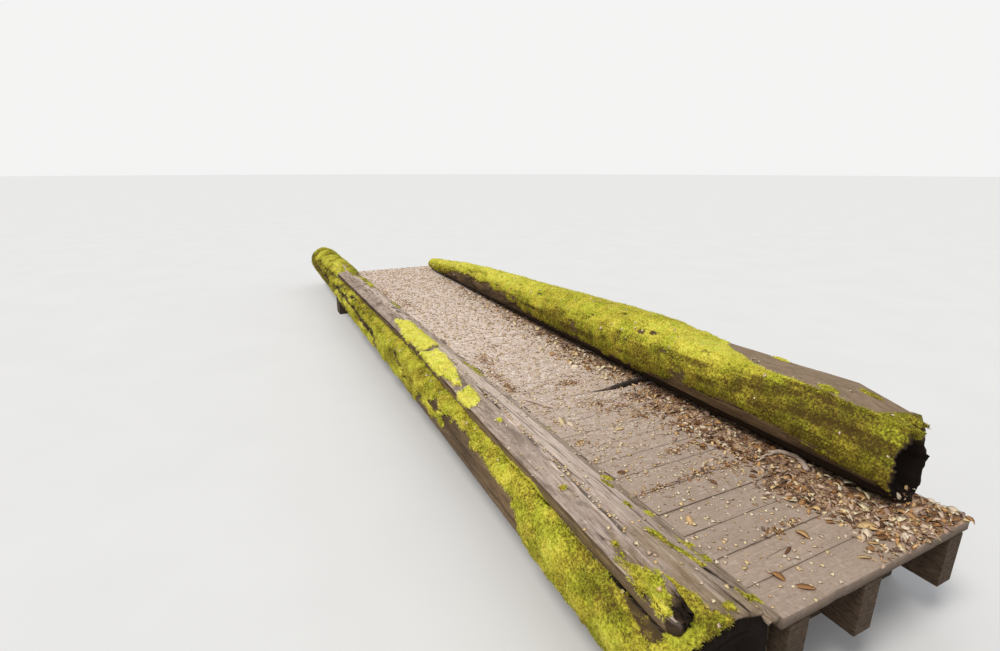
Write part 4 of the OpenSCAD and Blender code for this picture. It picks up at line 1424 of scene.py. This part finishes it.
# Single leaves: x, y, length, width, curl and tone
SINGLES = (
    (0.434, 0.250, 0.060, 0.034, 0.130, 0.68), (0.716, 0.158, 0.095, 0.045, 0.090, 0.78),
    (0.620, 0.130, 0.060, 0.030, 0.050, 0.86), (0.140, 0.135, 0.055, 0.030, 0.100, 0.45),
    (0.180, 0.060, 0.075, 0.026, 0.025, 0.42), (0.095, 0.516, 0.070, 0.028, 0.010, 0.74),
    (0.402, 0.678, 0.055, 0.018, 0.100, 0.30), (0.300, 0.215, 0.075, 0.012, 0.050, 0.20),
    (0.820, 0.240, 0.070, 0.030, 0.075, 0.95), (0.930, 0.130, 0.080, 0.035, 0.110, 0.60),
    (0.520, 0.060, 0.055, 0.020, 0.060, 0.80), (0.07, 0.93, 0.05, 0.02, 0.100, 0.25),
    (0.35, 1.30, 0.06, 0.03, 0.025, 0.85), (0.25, 1.16, 0.05, 0.02, 0.025, 0.90),
    (0.60, 1.12, 0.05, 0.022, 0.075, 0.72), (0.094, 1.502, 0.085, 0.045, 0.060, 0.93),
    (0.130, 1.470, 0.060, 0.030, 0.050, 0.90))
TWIG_ROWS = 40
TWIG_SIDES = 10
# A stick with its fork, and a twig: x, y and height
STICK = (
    (0.872, 0.536, 0.012), (0.905, 0.585, 0.022), (0.921, 0.631, 0.028),
    (0.912, 0.661, 0.027), (0.890, 0.705, 0.025), (0.846, 0.735, 0.018))
FORK = (
    (0.870, 0.716, 0.020), (0.838, 0.714, 0.018), (0.805, 0.722, 0.015),
    (0.779, 0.711, 0.012), (0.742, 0.712, 0.007))
TWIG = ((0.050, 1.880, 0.006), (0.085, 1.800, 0.010), (0.105, 1.760, 0.008), (0.150, 1.690, 0.005))


def drift_edge(y):
    return np.interp(y, DRIFT_Y, DRIFT_X) + 0.05 * rough(at(0, y, 0), (1, 0.09, 1), 2, 405)


def litter_bed(name, start, end):
    """A low mound of crumbled leaves along the right log's foot."""
    y = np.arange(start, end, BED_STEP)[:, None]
    edge = drift_edge(y)
    x = mix(edge - 0.03, np.where(y < LOG_NEAR_Y - 0.02, BED_NEAR_X, BED_X), np.linspace(0, 1, BED_ACROSS))
    top = at(x, y, 0.0)
    deep = smooth(0.02, 0.16, x - edge) * smooth(5.5, 4.0, y)
    deep *= smooth(0.0, 0.04, np.minimum(y - start + 0.03, end - y)) * mix(1, 0.5, smooth(1.8, 2.6, y))
    height = -0.0050 + 0.011 * deep + 0.010 * rough(top, (0.045, 0.045, 1), 3, 401) * (0.5 + 0.5 * deep)
    top[..., 2] = np.where(y < 0.03, np.minimum(height, 0.002), height)
    bottom = np.stack([top[:, -1], top[:, 0]], 1)
    bottom[..., 2] = -0.014
    rows = np.concatenate([top, bottom], 1)[:, ::-1] + corner
    mesh_piece(name, with_middles(rows), tube_faces(*rows.shape[:2]), crumbled, "deck_wood")


def dressed_tree():
    """The finished surfaces that leaves can lie on."""
    ends = ("_skin", "_worn", "_bed", "_dirt")
    points, faces = [], []
    for piece in (o for o in bpy.data.objects if o.type == "MESH" and o.name.endswith(ends)):
        start = len(points)
        co = np.empty(len(piece.data.vertices) * 3, np.float32)
        piece.data.vertices.foreach_get("co", co)
        points += co.reshape(-1, 3).tolist()
        faces += [[v + start for v in f.vertices] for f in piece.data.polygons]
    return BVHTree.FromPolygons(points, faces)


def dropped(tree, x, y, above, keep):
    """Where things dropped at (x, y) come to lie, which way is up there, and which of them lie."""
    places, ups, kept = [], [], []
    for n, (px, py) in enumerate(zip(x + corner[0], y + corner[1])):
        found, normal, _, _ = tree.ray_cast((px, py, corner[2] + above), (0, 0, -1))
        if found is not None and normal.z > 0.25 and (keep is None or keep(found, n)):
            places.append(found)
            ups.append(normal)
            kept.append(n)
    return np.array(places)[:, None], np.array(ups)[:, None], kept


def blade_faces(count, rows):
    """Faces of closed blades with rows of four points between two tips."""
    total = 4 * rows + 2
    ring = np.arange(4)
    nxt = (ring + 1) % 4
    first_tip = np.stack([np.zeros(4, int), 1 + ring, 1 + nxt], -1)
    last_tip = np.stack([np.full(4, total - 1), total - 5 + nxt, total - 5 + ring], -1)
    start = np.arange(count)[:, None, None] * total
    faces = [(start + np.concatenate([first_tip, last_tip])).reshape(-1, 3)]
    if rows > 1:
        row = 1 + 4 * np.arange(rows - 1)[:, None]
        quads = np.stack([row + ring, row + 4 + ring, row + 4 + nxt, row + nxt], -1).reshape(-1, 4)
        faces.append((start + quads).reshape(-1, 4))
    return faces


def leaves(name, tree, rng, x, y, length, width, curl, tone, rows, above, lying=0.18, keep=None, faded=0.5):
    """Thin closed leaves that lie where they are dropped, bent along their midrib."""
    foot, up, kept = dropped(tree, x, y, above, keep)
    count = len(kept)
    each_leaf = (length, width, curl, tone)
    length, width, curl, tone = (np.broadcast_to(v, np.shape(x))[kept][:, None, None] for v in each_leaf)
    up = unit(up + rng.normal(0, lying, (count, 1, 3)))
    along = unit(np.cross(up, rng.normal(0, 1, (count, 1, 3))))
    side = np.cross(up, along)
    s = np.linspace(0, 1, rows + 2)[None, :, None]
    arch = curl * length * (1 - (2 * s - 1) ** 2)
    ribs = foot + up * (0.0012 + arch + np.clip(-curl, 0, None) * length) + along * (s - 0.5) * length
    blade = width / 2 * np.sin(np.pi * s[:, 1:-1]) ** 0.7
    mid = ribs[:, 1:-1]
    fold = up * blade * 0.35
    grid = np.stack([mid - side * blade + fold, mid, mid + side * blade + fold, mid - up * 0.0008], 2)
    points = np.concatenate([ribs[:, :1], grid.reshape(count, -1, 3), ribs[:, -1:]], 1)
    each = points.shape[1]
    values = {"tone": np.repeat(tone.ravel(), each), "faded": np.repeat(rng.random(count) < faded, each)}
    return mesh_piece(name, points, blade_faces(count, rows), leaf_skin, "deck_wood", values=values)


def on_deck(found, n):
    return corner[2] - 0.02 < found.z < corner[2] + 0.03


def leaf_drift(tree, rng):
    """The drift of leaves along the right log."""
    count = DRIFT_LEAVES
    x = rng.uniform(0.30, 1.15, count)
    y = 5.8 * rng.random(count) ** 1.25
    chosen = rng.random(count) < smooth(-0.16, 0.10, x - drift_edge(y)) * mix(1, 0.4, smooth(3.5, 5.5, y))
    x, y = x[chosen], y[chosen]
    count = len(x)
    patchy = 0.25 * noise(at(x, y, 0), (0.09, 0.09, 1), 406)
    bright = rng.random(count) < 0.32 + 0.25 * smooth(1.6, 2.2, y) + patchy
    shade = np.where(bright, rng.uniform(0.66, 1.0, count), rng.beta(1.8, 2.0, count) * 0.85) + 0.08
    length = rng.uniform(0.018, 0.050, count) * np.where(rng.random(count) < 0.12, 1.5, 1)
    width = length * rng.uniform(0.28, 0.60, count)
    curl = rng.uniform(-0.2, 0.3, count)
    leaves("leaf_drift", tree, rng, x, y, length, width, curl, shade, 3, 0.034, 0.35, on_deck)


def leaf_crumbs(tree, rng):
    """Bits of leaf in small heaps and strewn over the deck."""
    x, y = [], []
    for heap_x, heap_y, wide, long, amount in HEAPS:
        x.append(heap_x + wide * rng.normal(0, 0.6, amount))
        y.append(heap_y + long * rng.normal(0, 0.6, amount))
    heaped = sum(len(part) for part in x)
    x.append(rng.uniform(0.02, 0.95, STREWN_CRUMBS))
    y.append(0.1 + 6.5 * rng.random(STREWN_CRUMBS) ** 0.75)
    x, y = np.concatenate(x), np.concatenate(y)
    count = len(x)
    size = np.where(np.arange(count) < heaped, 1.6, 1.0)
    length = size * rng.uniform(0.008, 0.024, count)
    width = size * rng.uniform(0.004, 0.010, count)
    curl, tone = rng.uniform(-0.1, 0.3, count), rng.beta(2.4, 1.6, count)
    leaves("leaf_crumbs", tree, rng, x, y, length, width, curl, tone, 1, 0.034, 0.3, on_deck, 0.35)


def leaf_flecks(tree, rng):
    """Pale flecks on the deck, the kerbs and the slope, most in the gutter beside the kerbs."""
    count = FLECKS
    x = rng.uniform(-0.42, 1.08, count)
    y = DECK_L * rng.random(count)
    chance = np.where(x < -0.02, 0.15, mix(0.55, 1, smooth(0.2, 1.0, y)))
    chosen = rng.random(count) < chance
    gutter_y = rng.uniform(0.35, 2.7, GUTTER_FLECKS)
    gutter_x = kerb_inner(gutter_y) + 0.056 + rng.normal(0, 0.009, GUTTER_FLECKS)
    x = np.concatenate([x[chosen], gutter_x])
    y = np.concatenate([y[chosen], gutter_y])
    count = len(x)
    rare = rng.random(count)

    def low_or_rare(found, n):
        return corner[2] - 0.02 < found.z < corner[2] + 0.115 or rare[n] < 0.10

    size = rng.uniform(0.7, 1.5, count) * (1 + 0.05 * y)
    width = 0.0140 * size * rng.uniform(0.7, 1.2, count)
    curl, tone = rng.uniform(-0.05, 0.2, count), rng.uniform(0.80, 1.0, count)
    leaves("leaf_flecks", tree, rng, x, y, 0.0195 * size, width, curl, tone, 1, 0.6, 0.16, low_or_rare)


def twig(name, path, radius, seed, **shares):
    """A bent tapered twig through points (x, y, height) on the deck."""
    path = np.array(path)
    s = np.linspace(0, len(path) - 1, TWIG_ROWS)
    line = np.stack([np.interp(s, np.arange(len(path)), path[:, k]) for k in range(3)], -1)
    line[1:-1] = (line[:-2] + 2 * line[1:-1] + line[2:]) / 4
    line += 0.0025 * np.stack([rough(line, (0.03, 0.03), 2, seed + k) for k in range(3)], -1)
    along = unit(np.gradient(line, axis=0))
    side = unit(np.cross(along, np.array([0, 0, 1.0])))
    up = np.cross(side, along)
    turn = np.linspace(0, 2 * np.pi, TWIG_SIDES, endpoint=False)[None, :, None]
    thick = radius * np.interp(s / s[-1], (0, 0.04, 0.5, 0.9, 1), (0.75, 1, 0.7, 0.75, 0.35))
    around = np.cos(turn) * up[:, None] + np.sin(turn) * side[:, None]
    rows = line[:, None] + around * thick[:, None, None]
    rows += around * 0.0012 * noise(rows, (0.008, 0.02), seed + 5)[..., None]
    dressed(name, rows + corner, log_wood, "deck_wood", None, **shares)


def litter():
    """Leaves and sticks, which lie on what is there before them."""
    rng = np.random.default_rng(17)
    litter_bed("near_leaf_bed", 0.004, HOLE_Y[0])
    litter_bed("far_leaf_bed", HOLE_Y[1], 5.6)
    tree = dressed_tree()
    leaf_drift(tree, rng)
    leaf_crumbs(tree, rng)
    leaves("single_leaves", tree, rng, *np.array(SINGLES).T, 7, 0.05, 0.12, faded=0.2)
    leaf_flecks(tree, rng)
    twig("pale_stick", STICK, 0.0145, 411, pale=0.42, brown=0.45, stain=0.25, rot=0.06)
    twig("forked_twig", FORK, 0.0065, 431, pale=0.60, brown=0.40, stain=0.20)
    twig("tan_twig", TWIG, 0.0085, 421, pale=0.65, brown=0.4)


# Timber under the deck


def hidden_timbers():
    for node in ("left_stringer", "middle_stringer", "right_stringer", "near_sill", "far_sill"):
        mesh = frame["nodes"][node].data
        mesh.materials.clear()
        mesh.materials.append(hidden_wood)


# Stage

# A round floor, whose rim is a level line from every side
FLOOR_R = 160
FLOOR_SIDES = 120
FLOOR_TONES = ((0.3, (0.78, 0.775, 0.765)), (0.7, (0.80, 0.795, 0.785)))
SKY_LIGHT = (0.93, 0.96, 1.0, 1)
SKY_STRENGTH = 0.62
BACKDROP = (0.90, 0.90, 0.895, 1)
SUN_COLOUR = (1.0, 0.965, 0.91)
SUN_STRENGTH = 1.7
SUN_WIDTH = 22
SUN_WAY = (0.55, 0.12, -1.0)


def floor():
    mesh = bpy.data.meshes.new("floor")
    turns = [2 * math.pi * k / FLOOR_SIDES for k in range(FLOOR_SIDES)]
    rim = [(FLOOR_R * math.cos(turn), FLOOR_R * math.sin(turn), 0) for turn in turns]
    mesh.from_pydata(rim, [], [range(FLOOR_SIDES)])
    paint = Paint("pale_floor", 0.9, 0.1)
    mesh.materials.append(paint.finish(paint.ramp(paint.noise(0.8, 2), *FLOOR_TONES)))
    plane = bpy.data.objects.new("floor", mesh)
    bpy.context.scene.collection.objects.link(plane)


def sky():
    """Soft light from all round, behind which the camera sees a pale backdrop."""
    world = bpy.data.worlds.new("studio")
    bpy.context.scene.world = world
    world.use_nodes = True
    nodes, links = world.node_tree.nodes, world.node_tree.links
    light = nodes["Background"]
    light.inputs["Color"].default_value = SKY_LIGHT
    light.inputs["Strength"].default_value = SKY_STRENGTH
    seen = nodes.new("ShaderNodeBackground")
    seen.inputs["Color"].default_value = BACKDROP
    path = nodes.new("ShaderNodeLightPath")
    choose = nodes.new("ShaderNodeMixShader")
    links.new(path.outputs["Is Camera Ray"], choose.inputs[0])
    links.new(light.outputs[0], choose.inputs[1])
    links.new(seen.outputs[0], choose.inputs[2])
    links.new(choose.outputs[0], nodes["World Output"].inputs["Surface"])


def sun():
    data = bpy.data.lights.new("soft_sun", "SUN")
    data.energy = SUN_STRENGTH
    data.angle = math.radians(SUN_WIDTH)
    data.color = SUN_COLOUR
    lamp = bpy.data.objects.new("soft_sun", data)
    lamp.rotation_euler = Vector(SUN_WAY).to_track_quat("-Z", "Y").to_euler()
    bpy.context.scene.collection.objects.link(lamp)


def camera():
    """The camera at the photograph's angle."""
    data = bpy.data.cameras.new("camera")
    data.lens = CAMERA_LENS
    data.sensor_width = SENSOR_W
    data.clip_end = CLIP_END
    cam = bpy.data.objects.new("camera", data)
    cam.location = Vector(corner) + Vector(CAMERA_AT)
    cam.rotation_mode = "XYZ"
    turns = (90 - CAMERA_PITCH, CAMERA_ROLL, -CAMERA_YAW)
    cam.rotation_euler = [math.radians(turn) for turn in turns]
    bpy.context.scene.collection.objects.link(cam)
    bpy.context.scene.camera = cam


camera()
left_log()
edge_dirt()
kerb("near_kerb", 111, NEAR_CLUMPS, True)
kerb("far_kerb", 131, FAR_CLUMPS, False)
right_log()
deck_planks()
joint_dirt()
hidden_timbers()
litter()
floor()
sky()
sun()
bpy.context.scene.view_settings.view_transform = "Standard"
